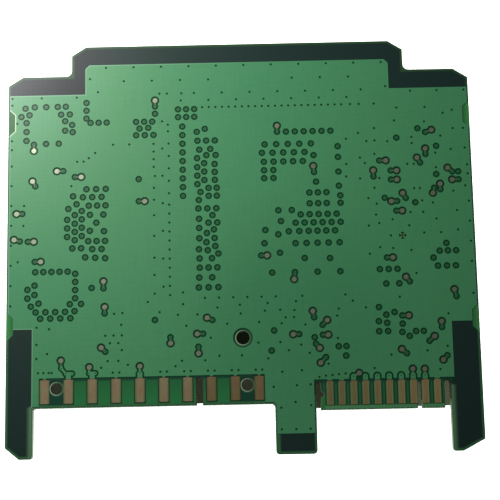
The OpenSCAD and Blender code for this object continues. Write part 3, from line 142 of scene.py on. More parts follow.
class Paint:
    """One procedural material: a Principled shader and short calls that build its inputs."""

    def __init__(self, name, color, rough, metal=0.0, **sockets):
        self.mat = bpy.data.materials.new(name)
        self.mat.use_nodes = True
        self.tree = self.mat.node_tree
        self.tree.nodes.clear()
        self.shader = self.add("ShaderNodeBsdfPrincipled")
        out = self.add("ShaderNodeOutputMaterial")
        self.join(self.shader.outputs["BSDF"], out.inputs["Surface"])
        self.set("Base Color", (*color, 1.0))
        self.set("Roughness", rough)
        self.set("Metallic", metal)
        for socket, value in sockets.items():
            self.set(socket.replace("_", " "), value)

        # The place of a point, in millimetres.
        coords = self.add("ShaderNodeTexCoord")
        scale = self.add("ShaderNodeVectorMath", operation="SCALE")
        self.join(coords.outputs["Object"], scale.inputs[0])
        scale.inputs["Scale"].default_value = 1.0 / MM
        self.place = scale.outputs[0]
        split = self.add("ShaderNodeSeparateXYZ")
        self.join(self.place, split.inputs[0])
        self.x, self.y, self.z = split.outputs

    def add(self, kind, **settings):
        node = self.tree.nodes.new(kind)
        for key, value in settings.items():
            setattr(node, key, value)
        return node

    def join(self, source, socket):
        """Links a socket to a source, or sets its value where the source is a plain one."""
        if isinstance(source, bpy.types.NodeSocket):
            self.tree.links.new(source, socket)
        else:
            socket.default_value = source

    def set(self, socket, value):
        self.join(value, self.shader.inputs[socket])

    def math(self, operation, a, b=0.0, c=0.0):
        node = self.add("ShaderNodeMath", operation=operation)
        for value, socket in zip((a, b, c), node.inputs):
            self.join(value, socket)
        return node.outputs[0]

    def times(self, a, b):
        """The product of two values: 1 where both are 1."""
        return self.math("MULTIPLY", a, b)

    def most(self, first, *others):
        """The largest of several values: 1 where any of them is 1."""
        for other in others:
            first = self.math("MAXIMUM", first, other)
        return first

    def smooth(self, value, start, end):
        """0 at start and 1 at end, with a soft step between them. end may lie below start."""
        rising = start <= end
        node = self.add("ShaderNodeMapRange", interpolation_type="SMOOTHSTEP")
        self.join(value, node.inputs["Value"])
        node.inputs["From Min"].default_value = min(start, end)
        node.inputs["From Max"].default_value = max(start, end)
        node.inputs["To Min"].default_value = 0.0 if rising else 1.0
        node.inputs["To Max"].default_value = 1.0 if rising else 0.0
        return node.outputs["Result"]

    def ranged(self, value, low, high):
        """Spreads a value of 0 to 1 over low to high."""
        return self.math("MULTIPLY_ADD", value, high - low, low)

    def span(self, value, low, high, soft):
        """1 between low and high, with soft sides."""
        rise = self.smooth(value, low - soft, low + soft)
        fall = self.smooth(value, high + soft, high - soft)
        return self.times(rise, fall)

    def area(self, low_x, high_x, low_y, high_y, soft=0.04):
        """1 inside a rectangle of the card."""
        return self.times(self.span(self.x, low_x, high_x, soft), self.span(self.y, low_y, high_y, soft))

    def around(self, x, y):
        """Distance from a point of the card."""
        dx = self.math("SUBTRACT", self.x, x)
        dy = self.math("SUBTRACT", self.y, y)
        return self.math("SQRT", self.math("ADD", self.times(dx, dx), self.times(dy, dy)))

    def disc(self, x, y, radius, soft=0.05):
        """1 inside a circle of the card, with a soft rim inside its radius."""
        return self.smooth(self.around(x, y), radius, radius - soft)

    def beside(self, start, end):
        """Distance from the line through two points, positive on its left."""
        run, rise = end[0] - start[0], end[1] - start[1]
        length = math.hypot(run, rise)
        along_y = self.times(self.math("SUBTRACT", self.y, start[1]), run / length)
        along_x = self.times(self.math("SUBTRACT", self.x, start[0]), rise / length)
        return self.math("SUBTRACT", along_y, along_x)

    def chamfered(self, inside, lines, rim, soft):
        """inside, cut off along lines that are drawn in by rim."""
        for start, end in lines:
            kept = self.smooth(self.beside(start, end), rim - soft, rim + soft)
            inside = self.math("MINIMUM", inside, kept)
        return inside

    def mix(self, factor, a, b, blend="MIX"):
        """From colour a at factor 0 to colour b at 1, or to a times b where blend is MULTIPLY."""
        node = self.add("ShaderNodeMix", data_type="RGBA", blend_type=blend)
        self.join(factor, node.inputs["Factor"])
        for value, index in ((a, MIX_A), (b, MIX_B)):
            self.join((*value, 1.0) if isinstance(value, tuple) else value, node.inputs[index])
        return node.outputs[MIX_RESULT]

    def grain(self, size, detail, stretch=(1.0, 1.0, 1.0)):
        """Noise from 0 to 1 with size cells a millimetre, times stretch along each axis."""
        scaled = self.add("ShaderNodeVectorMath", operation="MULTIPLY")
        self.join(self.place, scaled.inputs[0])
        scaled.inputs[1].default_value = stretch
        noise = self.add("ShaderNodeTexNoise")
        self.join(scaled.outputs[0], noise.inputs["Vector"])
        noise.inputs["Scale"].default_value = size
        noise.inputs["Detail"].default_value = detail
        return noise.outputs["Fac"]

    def ripple(self, value, pitch):
        """A sine from 0 to 1 along value, one wave for each pitch."""
        angle = self.times(value, 2 * math.pi / pitch)
        return self.math("MULTIPLY_ADD", self.math("SINE", angle), 0.5, 0.5)

    def bump(self, height, depth, strength):
        """Adds relief of depth millimetres to the relief that is there."""
        node = self.add("ShaderNodeBump")
        node.inputs["Strength"].default_value = strength
        node.inputs["Distance"].default_value = depth * MM
        self.join(height, node.inputs["Height"])
        normal = self.shader.inputs["Normal"]
        if normal.is_linked:
            self.join(normal.links[0].from_socket, node.inputs["Normal"])
        self.set("Normal", node.outputs["Normal"])


def dress(paint, *names):
    """Gives CAD nodes a material."""
    for name in names:
        mesh = NODES[name].data
        mesh.materials.clear()
        mesh.materials.append(paint.mat)


# ---- Outlines on the card, as masks ---------------------------------------------------------

def edge_distance(p):
    """Distance from the nearer long side of the card."""
    left = p.math("SUBTRACT", p.x, CARD_LOW.x)
    right = p.math("SUBTRACT", CARD_HIGH.x, p.x)
    return p.math("MINIMUM", left, right)


def card_inside(p, rim):
    """1 on the card's outline drawn in by rim."""
    step = p.area(STEP_X[0] + rim, STEP_X[1] - rim, EDGE_Y + rim, CARD_HIGH.y - rim, CARD_SOFT)
    inside = p.chamfered(step, STEP_CHAMFERS, rim, CARD_SOFT)
    blocks = [
        (CARD_LOW.x, CARD_HIGH.x, EDGE_Y),
        (CARD_LOW.x, LEFT_LEG_X, CARD_LOW.y),
        (RIGHT_LEG_X, CARD_HIGH.x, CARD_LOW.y),
        (*TAB_X, CARD_LOW.y),
        (TAB_X[1], RIGHT_LEG_X, TONGUE_Y - rim),
    ]
    for low_x, high_x, low_y in blocks:
        block = p.area(low_x + rim, high_x - rim, low_y + rim, SHOULDER_Y - rim, CARD_SOFT)
        inside = p.most(inside, block)
    return p.chamfered(inside, CORNER_CHAMFERS, rim, CARD_SOFT)


def pour_inside(p, rim):
    """1 on the copper pour's outline drawn in by rim."""
    low_y, past_side = CARD_LOW.y, 1.0
    wide = p.area(POUR_LOW.x + rim, POUR_HIGH.x - rim, low_y, POUR_SHOULDER_Y - rim, POUR_SOFT)
    high = p.area(POUR_STEP_X[0] + rim, POUR_STEP_X[1] - rim, low_y, POUR_HIGH.y - rim, POUR_SOFT)
    high = p.chamfered(high, POUR_CHAMFERS, rim, POUR_SOFT)
    bands = p.most(
        p.area(CARD_LOW.x - past_side, LEFT_BAND_X + rim, low_y, BAND_TOP_Y + rim, POUR_SOFT),
        p.area(RIGHT_BAND_X - rim, CARD_HIGH.x + past_side, low_y, BAND_TOP_Y + rim, POUR_SOFT),
        p.area(*TAB_X, low_y, TAB_BAND_Y + rim, POUR_SOFT),
    )
    return p.most(p.math("SUBTRACT", p.most(wide, high), bands), 0.0)


def breakouts(p, grow=0.0):
    """1 on the slanted patches along both long sides, widened by grow."""
    half_l = BREAKOUT_HALF_L + BREAKOUT_SPREAD * grow
    depth = BREAKOUT_DEPTH + grow
    inside = 0.0
    for y in BREAKOUT_Y:
        offset = p.math("ABSOLUTE", p.math("SUBTRACT", p.y, y))
        reach = p.math("MULTIPLY_ADD", edge_distance(p), BREAKOUT_SLANT, offset)
        inside = p.most(inside, p.smooth(reach, half_l + BREAKOUT_END_SOFT, half_l - BREAKOUT_END_SOFT))
    near_side = p.smooth(edge_distance(p), depth + BREAKOUT_SIDE_SOFT, depth - BREAKOUT_SIDE_SOFT)
    return p.times(inside, near_side)


def across_pads(p, pads):
    """Distance from the middle of the nearest pad of a row, and half a pad's width."""
    first, second = pads[0], pads[1]
    pitch = second[0].x - first[0].x
    centre = (first[0].x + first[1].x) / 2
    across = p.math("PINGPONG", p.math("SUBTRACT", p.x, centre), pitch / 2)
    return across, (first[1].x - first[0].x) / 2


# ---- Solder mask ----------------------------------------------------------------------------

FILM_ROUGH = 0.36
FILM_RELIEF = 0.3
WARP_PITCH, WEFT_PITCH, WEAVE_DEPTH = 0.42, 0.36, 0.0012
FILM_GRAIN, FILM_GRAIN_DEPTH = 14.0, 0.0015


def mask_film(name, color, gloss):
    """The satin green film, with the faint weave of the glass cloth below it."""
    p = Paint(name, color, FILM_ROUGH, Specular_IOR_Level=gloss)
    weave = p.times(p.ripple(p.x, WARP_PITCH), p.ripple(p.y, WEFT_PITCH))
    p.bump(weave, depth=WEAVE_DEPTH, strength=FILM_RELIEF)
    p.bump(p.grain(size=FILM_GRAIN, detail=3.0), depth=FILM_GRAIN_DEPTH, strength=FILM_RELIEF)
    return p


# ---- Solder mask over the copper ------------------------------------------------------------

COPPER_GLOSS = 0.65
POUR_GREEN = (0.068, 0.29, 0.118)
THREAD_DARK, THREAD_LIGHT = (0.060, 0.268, 0.108), (0.076, 0.310, 0.128)
CLOUD_GREEN = (0.052, 0.28, 0.130)
VIA_SHADE = (0.47, 0.55, 0.54)
WARM_SHADE = (1.15, 1.02, 0.97)
DULL_SHADE = (0.82, 0.88, 0.87)
# Painted highlights along the step at the pour's edges and at one breakout, with their widths.
POUR_GLINT, POUR_GLINT_W = (0.17, 0.38, 0.22), 0.08
BREAKOUT_GLINT, BREAKOUT_GLINT_W = (0.52, 0.68, 0.46), 0.09

# The heights of the thinner film on the via pads, and those over which the bare face sets in.
VIA_FILM_Z = (TOP_Z - 0.04, TOP_Z - 0.005)
BARE_FACE_Z = (TOP_Z - 0.2, TOP_Z - 0.1)

# Where each tint sets in, and where it is full.
OFF_CONTACTS_Y = (POWER_HIGH_Y + 1.1, POWER_HIGH_Y + 1.3)
WARM_X, WARM_Y = (2.0, -12.0), (-5.0, 6.0)
DULL_CENTRE, DULL_RADII = (4.0, -6.0), (12.0, 3.0)
LIT_X, LIT_BREAKOUT_Y = (6.0, -14.0), (0.0, 6.0)


def cloth_tone(p):
    """The green over copper, with the threads of the glass cloth and broad clouds."""
    warp = p.grain(size=1.0, detail=2.0, stretch=(0.5, 6.0, 1.0))
    weft = p.grain(size=1.0, detail=2.0, stretch=(5.0, 0.5, 1.0))
    threads = p.math("SUBTRACT", p.math("ADD", warp, weft), 0.5)
    tone = p.mix(threads, THREAD_DARK, THREAD_LIGHT)
    return p.mix(p.ranged(p.grain(size=0.12, detail=2.0), 0.0, 0.35), tone, CLOUD_GREEN)


def paint_over_copper():
    """The film on the foils of both faces. Only the bare face is tinted by place, and it carries a painted
    highlight along the pour's edges.
    """
    p = mask_film("mask_over_copper", POUR_GREEN, COPPER_GLOSS)

    # The thinner film on the via pads lets the dark barrels show, except beside the contacts.
    thin = p.times(p.span(p.z, *VIA_FILM_Z, soft=0.002), p.smooth(p.y, *OFF_CONTACTS_Y))
    tone = p.mix(thin, cloth_tone(p), VIA_SHADE, "MULTIPLY")

    # Warmer at the upper left and duller in the lower middle.
    bare_face = p.smooth(p.z, *BARE_FACE_Z)
    upper_left = p.times(p.smooth(p.x, *WARM_X), p.smooth(p.y, *WARM_Y))
    tone = p.mix(p.times(bare_face, upper_left), tone, WARM_SHADE, "MULTIPLY")
    lower_middle = p.smooth(p.around(*DULL_CENTRE), *DULL_RADII)
    tone = p.mix(p.times(bare_face, lower_middle), tone, DULL_SHADE, "MULTIPLY")

    # A painted highlight on the step at the pour's left and upper edges, brightest at one breakout.
    lit = p.times(bare_face, p.smooth(p.x, *LIT_X))
    step = p.math("SUBTRACT", 1.0, pour_inside(p, POUR_GLINT_W))
    tone = p.mix(p.times(lit, step), tone, POUR_GLINT)
    breakout_glint = p.times(breakouts(p, BREAKOUT_GLINT_W), p.smooth(p.y, *LIT_BREAKOUT_Y))
    p.set("Base Color", p.mix(p.times(lit, breakout_glint), tone, BREAKOUT_GLINT))
    return p


# ---- Solder mask over the laminate ----------------------------------------------------------

LAMINATE_GLOSS = 0.5

# Bands and rings.
BAND_DARK, BAND_LEFT, BAND_ROUGH = (0.010, 0.031, 0.025), (0.005, 0.008, 0.012), 0.35
RING_GREEN, RING_ROUGH = (0.003, 0.056, 0.017), 0.27
RING_REACH = 0.02
HOLE_GREEN, HOLE_RING_W = (0.008, 0.085, 0.032), 0.4
LEFT_SHOULDER_X, LEFT_SHOULDER_Y = (-9.0, -15.0), (4.0, 8.0)

# Contact windows and the end of the signal tongue.
WINDOW_GREEN, WINDOW_TOP = (0.025, 0.195, 0.057), (0.022, 0.150, 0.048)
SIGNAL_GREEN = (0.021, 0.142, 0.045)
# Painted shade round the pads and below the pour; also the dark of the gaps that hold the locating holes.
WINDOW_DARK_AND_SHADE = (0.008, 0.06, 0.033)
POWER_PAD_RIM, SIGNAL_PAD_RIM = 0.09, 0.12
# Painted light shining through the laminate at the tongue's end, and a painted glow beside its first pad.
TONGUE_GLOW = (0.09, 0.30, 0.12)
GLOW_GREEN = (0.035, 0.21, 0.05)
HOLE_STRIP_HALF_W = PITCH * 0.3

# Cut edges and breakouts.
EDGE_GREEN, TOP_EDGE = (0.04, 0.15, 0.06), (0.027, 0.077, 0.031)
EDGE_W, TOP_EDGE_Y = 0.22, (8.0, 12.0)
LEG_RIM_GREEN, LEG_RIM_SOFT = (0.11, 0.23, 0.115), 0.09
LEFT_RIM_W, RIGHT_RIM_W, RIM_FULL_W, PAST_LEG = 0.6, 0.55, 0.1, 0.5
LEFT_RIM_TOP_Y, RIGHT_RIM_TOP_Y = EDGE_Y + 0.1, TONGUE_Y + 1.9
PATCH_INNER, PATCH_OUTER = (0.040, 0.175, 0.062), (0.05, 0.29, 0.07)
PATCH_UPPER_LEFT = (0.050, 0.155, 0.060)


def pad_gaps(p, pads, rim, green):
    """Green between the pads of a row, with painted shade round each pad and in a line below the pour."""
    across, half_w = across_pads(p, pads)
    low_y, high_y = pads[0][0].y, pads[0][1].y
    beside = p.smooth(across, half_w + rim * 0.5, half_w + rim * 1.6)
    under = p.smooth(p.y, low_y - rim * 0.6, low_y - rim * 1.8)
    below_pour = p.smooth(p.y, high_y - rim * 0.2, high_y - rim * 2.5)
    return p.mix(p.times(p.most(beside, under), below_pour), WINDOW_DARK_AND_SHADE, green)


def contact_windows(p, tone):
    """Greener windows round the two rows, and painted light shining through the laminate at the end of the
    signal tongue.
    """
    power_green = p.mix(p.smooth(p.y, POWER_LOW_Y, POWER_HIGH_Y), WINDOW_GREEN, WINDOW_TOP)
    windows = [
        (POWER, POWER_WINDOW_X, POWER_PAD_RIM, power_green),
        (SIGNAL, SIGNAL_WINDOW_X, SIGNAL_PAD_RIM, SIGNAL_GREEN),
    ]
    for pads, across_x, rim, green in windows:
        window = p.area(*across_x, pads[0][0].y - WINDOW_BELOW, pads[0][1].y + WINDOW_ABOVE)
        tone = p.mix(window, tone, pad_gaps(p, pads, rim, green))
    # Painted light that shines through the laminate at the tongue's end, and a painted glow beside its first
    # pad.
    tongue_end = p.area(*SIGNAL_WINDOW_X, TONGUE_Y, SIGNAL_LOW_Y - 0.06, soft=0.03)
    tone = p.mix(tongue_end, tone, TONGUE_GLOW)
    glow = p.area(SIGNAL_WINDOW_X[0], SIGNAL[0][0].x - 0.15, TONGUE_Y, TONGUE_Y + 1.25, soft=0.12)
    tone = p.mix(glow, tone, GLOW_GREEN)

    # The gaps that hold the locating holes are dark.
    for x in LOCATING_X:
        strip_x = (x - HOLE_STRIP_HALF_W, x + HOLE_STRIP_HALF_W)
        strip = p.area(*strip_x, EDGE_Y + 0.2, POWER_HIGH_Y, soft=0.03)
        tone = p.mix(strip, tone, WINDOW_DARK_AND_SHADE)
    return tone


def cut_edges(p, tone):
    """Light that shines through the laminate along its cut edges, most of all inside the legs."""
    edge = p.mix(p.smooth(p.y, *TOP_EDGE_Y), EDGE_GREEN, TOP_EDGE)
    tone = p.mix(card_inside(p, EDGE_W), edge, tone)
    left_leg = p.area(CARD_LOW.x, LEFT_LEG_X + PAST_LEG, CARD_LOW.y, LEFT_RIM_TOP_Y, LEG_RIM_SOFT)
    left_rim = p.times(p.smooth(p.x, LEFT_LEG_X - LEFT_RIM_W, LEFT_LEG_X - RIM_FULL_W), left_leg)
    right_leg = p.area(RIGHT_LEG_X - PAST_LEG, CARD_HIGH.x, CARD_LOW.y, RIGHT_RIM_TOP_Y, LEG_RIM_SOFT)
    right_rim = p.times(p.smooth(p.x, RIGHT_LEG_X + RIGHT_RIM_W, RIGHT_LEG_X + RIM_FULL_W), right_leg)
    return p.mix(p.most(left_rim, right_rim), tone, LEG_RIM_GREEN)


def breakout_patches(p, tone):
    """Light on the breakouts, brightest at the card's side but for the upper left one."""
    patch = p.mix(p.smooth(edge_distance(p), 0.5, 0.15), PATCH_INNER, PATCH_OUTER)
    upper_left = p.area(CARD_LOW.x, 0.0, 0.0, CARD_HIGH.y)
    return p.mix(breakouts(p), tone, p.mix(upper_left, patch, PATCH_UPPER_LEFT))


def paint_over_laminate():
    """The film where no foil lies below it: dark bands and rings, windows and pale edges."""
    p = mask_film("mask_over_laminate", BAND_DARK, LAMINATE_GLOSS)

    # Rings round vias lie inside the pour. The bands lie outside it, darkest at the left shoulder.
    ring = pour_inside(p, -RING_REACH)
    left_shoulder = p.times(p.smooth(p.x, *LEFT_SHOULDER_X), p.smooth(p.y, *LEFT_SHOULDER_Y))
    tone = p.mix(ring, p.mix(left_shoulder, BAND_DARK, BAND_LEFT), RING_GREEN)
    p.set("Roughness", p.ranged(ring, BAND_ROUGH, RING_ROUGH))
    for x, y, radius in HOLES:
        tone = p.mix(p.disc(x, y, radius + HOLE_RING_W), tone, HOLE_GREEN)

    tone = contact_windows(p, tone)
    tone = cut_edges(p, tone)
    p.set("Base Color", breakout_patches(p, tone))
    return p


# ---- Laminate -------------------------------------------------------------------------------

LAMINATE = (0.42, 0.42, 0.25)
PLY_T = 0.2
SIDE_DARK, SIDE_LIGHT = (0.11, 0.19, 0.10), (0.21, 0.32, 0.19)
# Painted shade on the milled sides round the contact rows.
SLOT_SHADE_DARK, SLOT_SHADE_LIGHT = (0.035, 0.035, 0.02), (0.07, 0.075, 0.045)
FACE_POWER, FACE_SIGNAL = (0.055, 0.028, 0.016), (0.10, 0.20, 0.11)
FACE_EDGE, FACE_EDGE_W = (0.10, 0.20, 0.10), 0.1
# Chipped hole edges with painted shade on one side and a painted highlight on the other, and the side that
# highlight faces.
CHIPPED_SHADED, CHIPPED_LIT = (0.07, 0.14, 0.06), (0.30, 0.42, 0.27)
CHIPPED_W, FACE_RING_W, RIM_SOFT = 0.10, 0.3, 0.05
LIT_SIDE, LIT_REACH = (-0.8, -0.3), 0.9

# Heights just under the laminate's face, over which its colour turns from side to face.
FACE_Z = (TOP_Z - 0.07, TOP_Z - 0.066)


def hole_rims(p, face):
    """A green ring round each hole, and its chipped edge with a painted highlight on one side and painted
    shade on the other.
    """
    for x, y, radius in HOLES:
        distance = p.around(x, y)
        ring = p.smooth(distance, radius + FACE_RING_W, radius + FACE_RING_W - RIM_SOFT)
        face = p.mix(ring, face, HOLE_GREEN)
        # A painted highlight on one side of the chipped edge and painted shade on the other.
        across = p.times(p.math("SUBTRACT", p.x, x), LIT_SIDE[0] / radius)
        along = p.times(p.math("SUBTRACT", p.y, y), LIT_SIDE[1] / radius)
        toward_light = p.smooth(p.math("ADD", across, along), -LIT_REACH, LIT_REACH)
        chipped = p.mix(toward_light, CHIPPED_SHADED, CHIPPED_LIT)
        rim = p.smooth(distance, radius + CHIPPED_W, radius + CHIPPED_W - RIM_SOFT)
        face = p.mix(rim, face, chipped)
    return face


def paint_laminate():
    """Pale glass-epoxy on the milled sides, with painted shade on them round the contact rows; dark where
    the face shows beside a pad.
    """
    p = Paint("laminate", LAMINATE, rough=0.6)
    fibres = p.grain(size=1.0, detail=3.0, stretch=(9.0, 9.0, 0.6))
    side = p.mix(p.times(p.ripple(p.z, PLY_T), fibres), SIDE_DARK, SIDE_LIGHT)
    # Painted shade on the milled sides in the notches, slots and holes round the contact rows.
    slots = p.area(POWER[0][0].x, CARD_HIGH.x, EDGE_Y + 0.1, POWER_HIGH_Y + 0.5)
    side = p.mix(slots, side, p.mix(fibres, SLOT_SHADE_DARK, SLOT_SHADE_LIGHT))
    signal_row = p.area(SIGNAL[0][0].x - 0.5, SIGNAL[-1][1].x + 0.5, TONGUE_Y, SIGNAL_HIGH_Y + 0.1)
    face = hole_rims(p, p.mix(signal_row, FACE_POWER, FACE_SIGNAL))
    face = p.mix(card_inside(p, FACE_EDGE_W), FACE_EDGE, face)
    p.set("Base Color", p.mix(p.smooth(p.z, *FACE_Z), side, face))
    p.bump(fibres, depth=0.004, strength=0.5)
    return p


# ---- Contacts and test pads -----------------------------------------------------------------

POWER_GOLD = {
    "dull": (0.23, 0.20, 0.095),
    "bright": (0.34, 0.30, 0.16),
    "rust": (0.32, 0.19, 0.105),
    "rim": (0.17, 0.19, 0.095),
    "worn": (0.75, 0.70, 0.58),
}
SIGNAL_GOLD = {
    "dull": (0.15, 0.165, 0.057),
    "bright": (0.25, 0.25, 0.098),
    "rust": (0.24, 0.165, 0.063),
    "rim": (0.19, 0.245, 0.115),
    "worn": (1.6, 1.3, 1.3),
}
TEST_GOLD = (0.38, 0.46, 0.32)
TEST_LIGHT, TEST_STAIN = (0.46, 0.55, 0.39), (0.30, 0.37, 0.25)


def paint_contact(name, pads, gold, worn_x):
    """Worn gold with rusty blotches, greyer along the two long sides of each pad.

    The gold's worn shade multiplies this tone. It sets in along the row, between the two
    places in worn_x.
    """
    p = Paint(name, gold["bright"], rough=0.45, metal=0.3)
    scratches = p.grain(size=1.0, detail=3.0, stretch=(14.0, 0.5, 1.0))
    patina = p.grain(size=1.8, detail=3.0, stretch=(1.0, 0.8, 1.0))
    tone = p.mix(scratches, gold["dull"], gold["bright"])
    tone = p.mix(p.ranged(p.smooth(patina, 0.38, 0.66), 0.1, 0.75), tone, gold["rust"])
    across, half_w = across_pads(p, pads)
    tone = p.mix(p.smooth(across, half_w - 0.17, half_w - 0.04), tone, gold["rim"])
    p.set("Base Color", p.mix(p.smooth(p.x, *worn_x), tone, gold["worn"], "MULTIPLY"))
    p.set("Roughness", p.ranged(scratches, 0.35, 0.55))
    p.bump(scratches, depth=0.004, strength=0.6)
    return p


def paint_test_pad():
    """Dull grey-green gold with small stains."""
    p = Paint("test_gold", TEST_GOLD, rough=0.38, metal=0.8)
    patina = p.grain(size=3.0, detail=3.0)
    p.set("Base Color", p.mix(patina, TEST_LIGHT, TEST_STAIN))
    p.bump(patina, depth=0.006, strength=0.5)
    return p


# ---- Bare metal, wire and mouldings ---------------------------------------------------------

WIRE_COPPER = (0.45, 0.13, 0.04)
WIRE_DARK, WIRE_LIGHT = (0.35, 0.09, 0.03), (0.62, 0.24, 0.08)


def paint_metal(name, color, rough=0.35, fleck=8.0):
    """Bare or tinned metal with duller flecks."""
    p = Paint(name, color, rough, metal=0.95)
    spots = p.grain(size=fleck, detail=3.0)
    dull = tuple(c * 0.7 for c in color)
    p.set("Base Color", p.mix(spots, dull, color))
    p.set("Roughness", p.ranged(spots, rough - 0.1, rough + 0.15))
    p.bump(spots, depth=0.004, strength=0.5)
    return p


def paint_moulding(name, color, light):
    """A matt moulded or fired body with a fine grain, cloudy between two tones."""
    p = Paint(name, color, rough=0.62)
    fine = p.grain(size=30.0, detail=3.0)
    broad = p.grain(size=1.2, detail=2.0)
    p.set("Base Color", p.mix(p.times(fine, broad), color, light))
    p.bump(fine, depth=0.006, strength=0.6)
    return p


def paint_wire():
    """Enamelled copper wire."""
    p = Paint("enamelled_wire", WIRE_COPPER, rough=0.25, metal=0.8)
    p.set("Base Color", p.mix(p.grain(size=2.0, detail=2.0, stretch=(1.0, 1.0, 6.0)), WIRE_DARK, WIRE_LIGHT))
    return p


dress(paint_over_copper(), "mask_over_copper", "back_solder_mask")
dress(paint_over_laminate(), "mask_over_laminate")
dress(paint_laminate(), "board_laminate")
power_gold = paint_contact("power_gold", POWER, POWER_GOLD, NOTCH_X)
signal_gold = paint_contact("signal_gold", SIGNAL, SIGNAL_GOLD, (SIGNAL[0][0].x, SIGNAL[-1][1].x))
dress(power_gold, *row_nodes("power_contact_"))
dress(signal_gold, *row_nodes("signal_contact_"))
dress(paint_test_pad(), "test_pads")
dress(paint_metal("foil_copper", (0.55, 0.26, 0.14)), "ground_pour", "net_pads", "back_copper")
dress(paint_metal("tin", (0.62, 0.62, 0.60)), "component_lands", "controller_leads", "inductor_terminals",
      "regulator_terminals", "gate_driver_leads", "dimmer_terminals", "rectifier_leads",
      "tantalum_terminals", "capacitor_terminals", "resistor_terminals")
dress(paint_metal("solder", (0.72, 0.73, 0.74), rough=0.22, fleck=3.0), "solder_fillets")
dress(paint_metal("oscillator_metal", (0.60, 0.58, 0.52), rough=0.3, fleck=12.0), "oscillator_lid")
dress(paint_moulding("moulding", (0.012, 0.012, 0.014), (0.045, 0.045, 0.05)), "controller_body",
      "regulator_body", "gate_driver_body", "dimmer_body", "rectifier_body")
dress(paint_moulding("ferrite", (0.05, 0.048, 0.048), (0.11, 0.105, 0.10)), "inductor_core")
dress(paint_moulding("oscillator_ceramic", (0.55, 0.47, 0.32), (0.68, 0.60, 0.44)), "oscillator_base")
dress(paint_moulding("tantalum_moulding", (0.55, 0.30, 0.04), (0.66, 0.40, 0.08)), "tantalum_capacitors")
dress(paint_moulding("capacitor_ceramic", (0.28, 0.18, 0.10), (0.40, 0.28, 0.17)), "ceramic_capacitors")
dress(paint_moulding("resistor_glaze", (0.012, 0.013, 0.018), (0.05, 0.05, 0.06)), "chip_resistors")
dress(paint_wire(), "inductor_winding")


# ---- Floor, light and camera ----------------------------------------------------------------

CARD_CENTRE = Vector((0, 0, TOP_Z * MM))

FLOOR_SIZE = 2.0
FLOOR_GAP = 0.02 * MM
FLOOR_WHITE = (0.9, 0.9, 0.9)
SHADE_DARK, SHADE_LIGHT = (0.012, 0.013, 0.008), (0.018, 0.020, 0.012)
SHADE_ABOVE_SLOTS = (0.0025, 0.0037, 0.0018)
SHADE_RIGHT = (0.037, 0.041, 0.025)
SLOT_TOP_Y = EDGE_Y + 3.0

KEY_PLACE, KEY_SIZE, KEY_POWER = (-0.040, 0.042, 0.048), 0.02, 0.060
FLOOR_LIGHT_PLACE, FLOOR_LIGHT_SIZE, FLOOR_LIGHT_POWER = (0, 0, 0.5), 0.8, 10.0
SKY_STRENGTH = 0.045

CAMERA_DISTANCE = 120 * MM
CAMERA_TILT, CAMERA_LEAN, CAMERA_TURN = (math.radians(a) for a in (-10.6, -0.34, 1.16))
CAMERA_OFF_AXIS = Vector((-0.76 * MM, 0.53 * MM, 0))
LENS_MM, SENSOR_MM = 101.3, 36.0


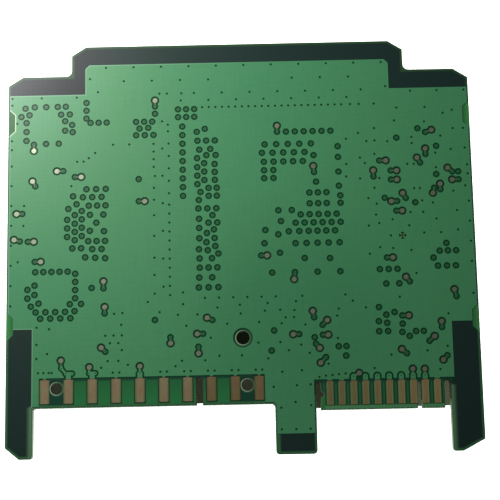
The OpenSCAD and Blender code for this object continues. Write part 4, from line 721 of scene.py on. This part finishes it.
def make_floor():
    """A white bench, dark under the card as in its shadow, also where holes and slots show it."""
    bpy.ops.mesh.primitive_plane_add(size=FLOOR_SIZE, location=(0, 0, cad_low[2] - FLOOR_GAP))
    floor = bpy.context.object
    floor.name = "floor"
    p = Paint("floor", FLOOR_WHITE, rough=0.8, Specular_IOR_Level=0.0)
    slots = p.area(TAB_X[1] - 1.0, RIGHT_LEG_X + 1.0, TONGUE_Y + 0.3, SLOT_TOP_Y, soft=0.02)
    notch = p.area(NOTCH_X[0] - 0.3, NOTCH_X[1] + 0.3, EDGE_Y + 0.3, SLOT_TOP_Y, soft=0.02)
    shadow = p.area(CARD_LOW.x + 1.2, CARD_HIGH.x - 1.2, EDGE_Y + 0.55, SHOULDER_Y - 0.9, soft=0.3)
    holes = [p.disc(x, y + 0.2, radius + 0.6, soft=0.2) for x, y, radius in HOLES]
    dark = p.mix(p.grain(size=0.6, detail=2.0), SHADE_DARK, SHADE_LIGHT)
    dark = p.mix(p.smooth(p.y, SLOT_TOP_Y - 0.5, SLOT_TOP_Y), dark, SHADE_ABOVE_SLOTS)
    dark = p.mix(p.smooth(p.x, RIGHT_LEG_X - 3.5, RIGHT_LEG_X - 3.0), dark, SHADE_RIGHT)
    p.set("Base Color", p.mix(p.most(slots, notch, shadow, *holes), FLOOR_WHITE, dark))
    floor.data.materials.append(p.mat)
    return floor


def area_light(name, place, size, power):
    """A soft square light of size that looks at the card from place, both in metres."""
    data = bpy.data.lights.new(name, "AREA")
    data.size = size
    data.energy = power
    light = bpy.data.objects.new(name, data)
    bpy.context.collection.objects.link(light)
    light.location = place
    light.rotation_euler = (CARD_CENTRE - Vector(place)).to_track_quat("-Z", "Y").to_euler()
    return light


def light_only(light, thing):
    """Keeps a light to one thing, without shadows."""
    receivers = bpy.data.collections.new(thing.name + "_only")
    receivers.objects.link(thing)
    light.light_linking.receiver_collection = receivers
    light.data.use_shadow = False


def make_camera():
    """A lens that looks down on the card from its contact edge's side, leaning a little."""
    view = (Matrix.Rotation(CAMERA_TILT, 3, "X") @ Matrix.Rotation(CAMERA_LEAN, 3, "Y")
            @ Matrix.Rotation(CAMERA_TURN, 3, "Z"))
    back = view.transposed()
    place = back @ (Vector((0, 0, CAMERA_DISTANCE)) - CAMERA_OFF_AXIS) + CARD_CENTRE
    data = bpy.data.cameras.new("camera")
    data.lens = LENS_MM
    data.sensor_width = SENSOR_MM
    data.clip_start = 1 * MM
    camera = bpy.data.objects.new("camera", data)
    bpy.context.collection.objects.link(camera)
    camera.matrix_world = Matrix.Translation(place) @ back.to_4x4()
    bpy.context.scene.camera = camera


def make_sky():
    """A faint even light from all sides."""
    world = bpy.data.worlds.new("studio")
    world.use_nodes = True
    sky = world.node_tree.nodes["Background"]
    sky.inputs["Color"].default_value = (1, 1, 1, 1)
    sky.inputs["Strength"].default_value = SKY_STRENGTH
    bpy.context.scene.world = world


floor = make_floor()
make_camera()
area_light("key", KEY_PLACE, KEY_SIZE, KEY_POWER)
light_only(area_light("floor_light", FLOOR_LIGHT_PLACE, FLOOR_LIGHT_SIZE, FLOOR_LIGHT_POWER), floor)
make_sky()
bpy.context.scene.view_settings.view_transform = "Standard"
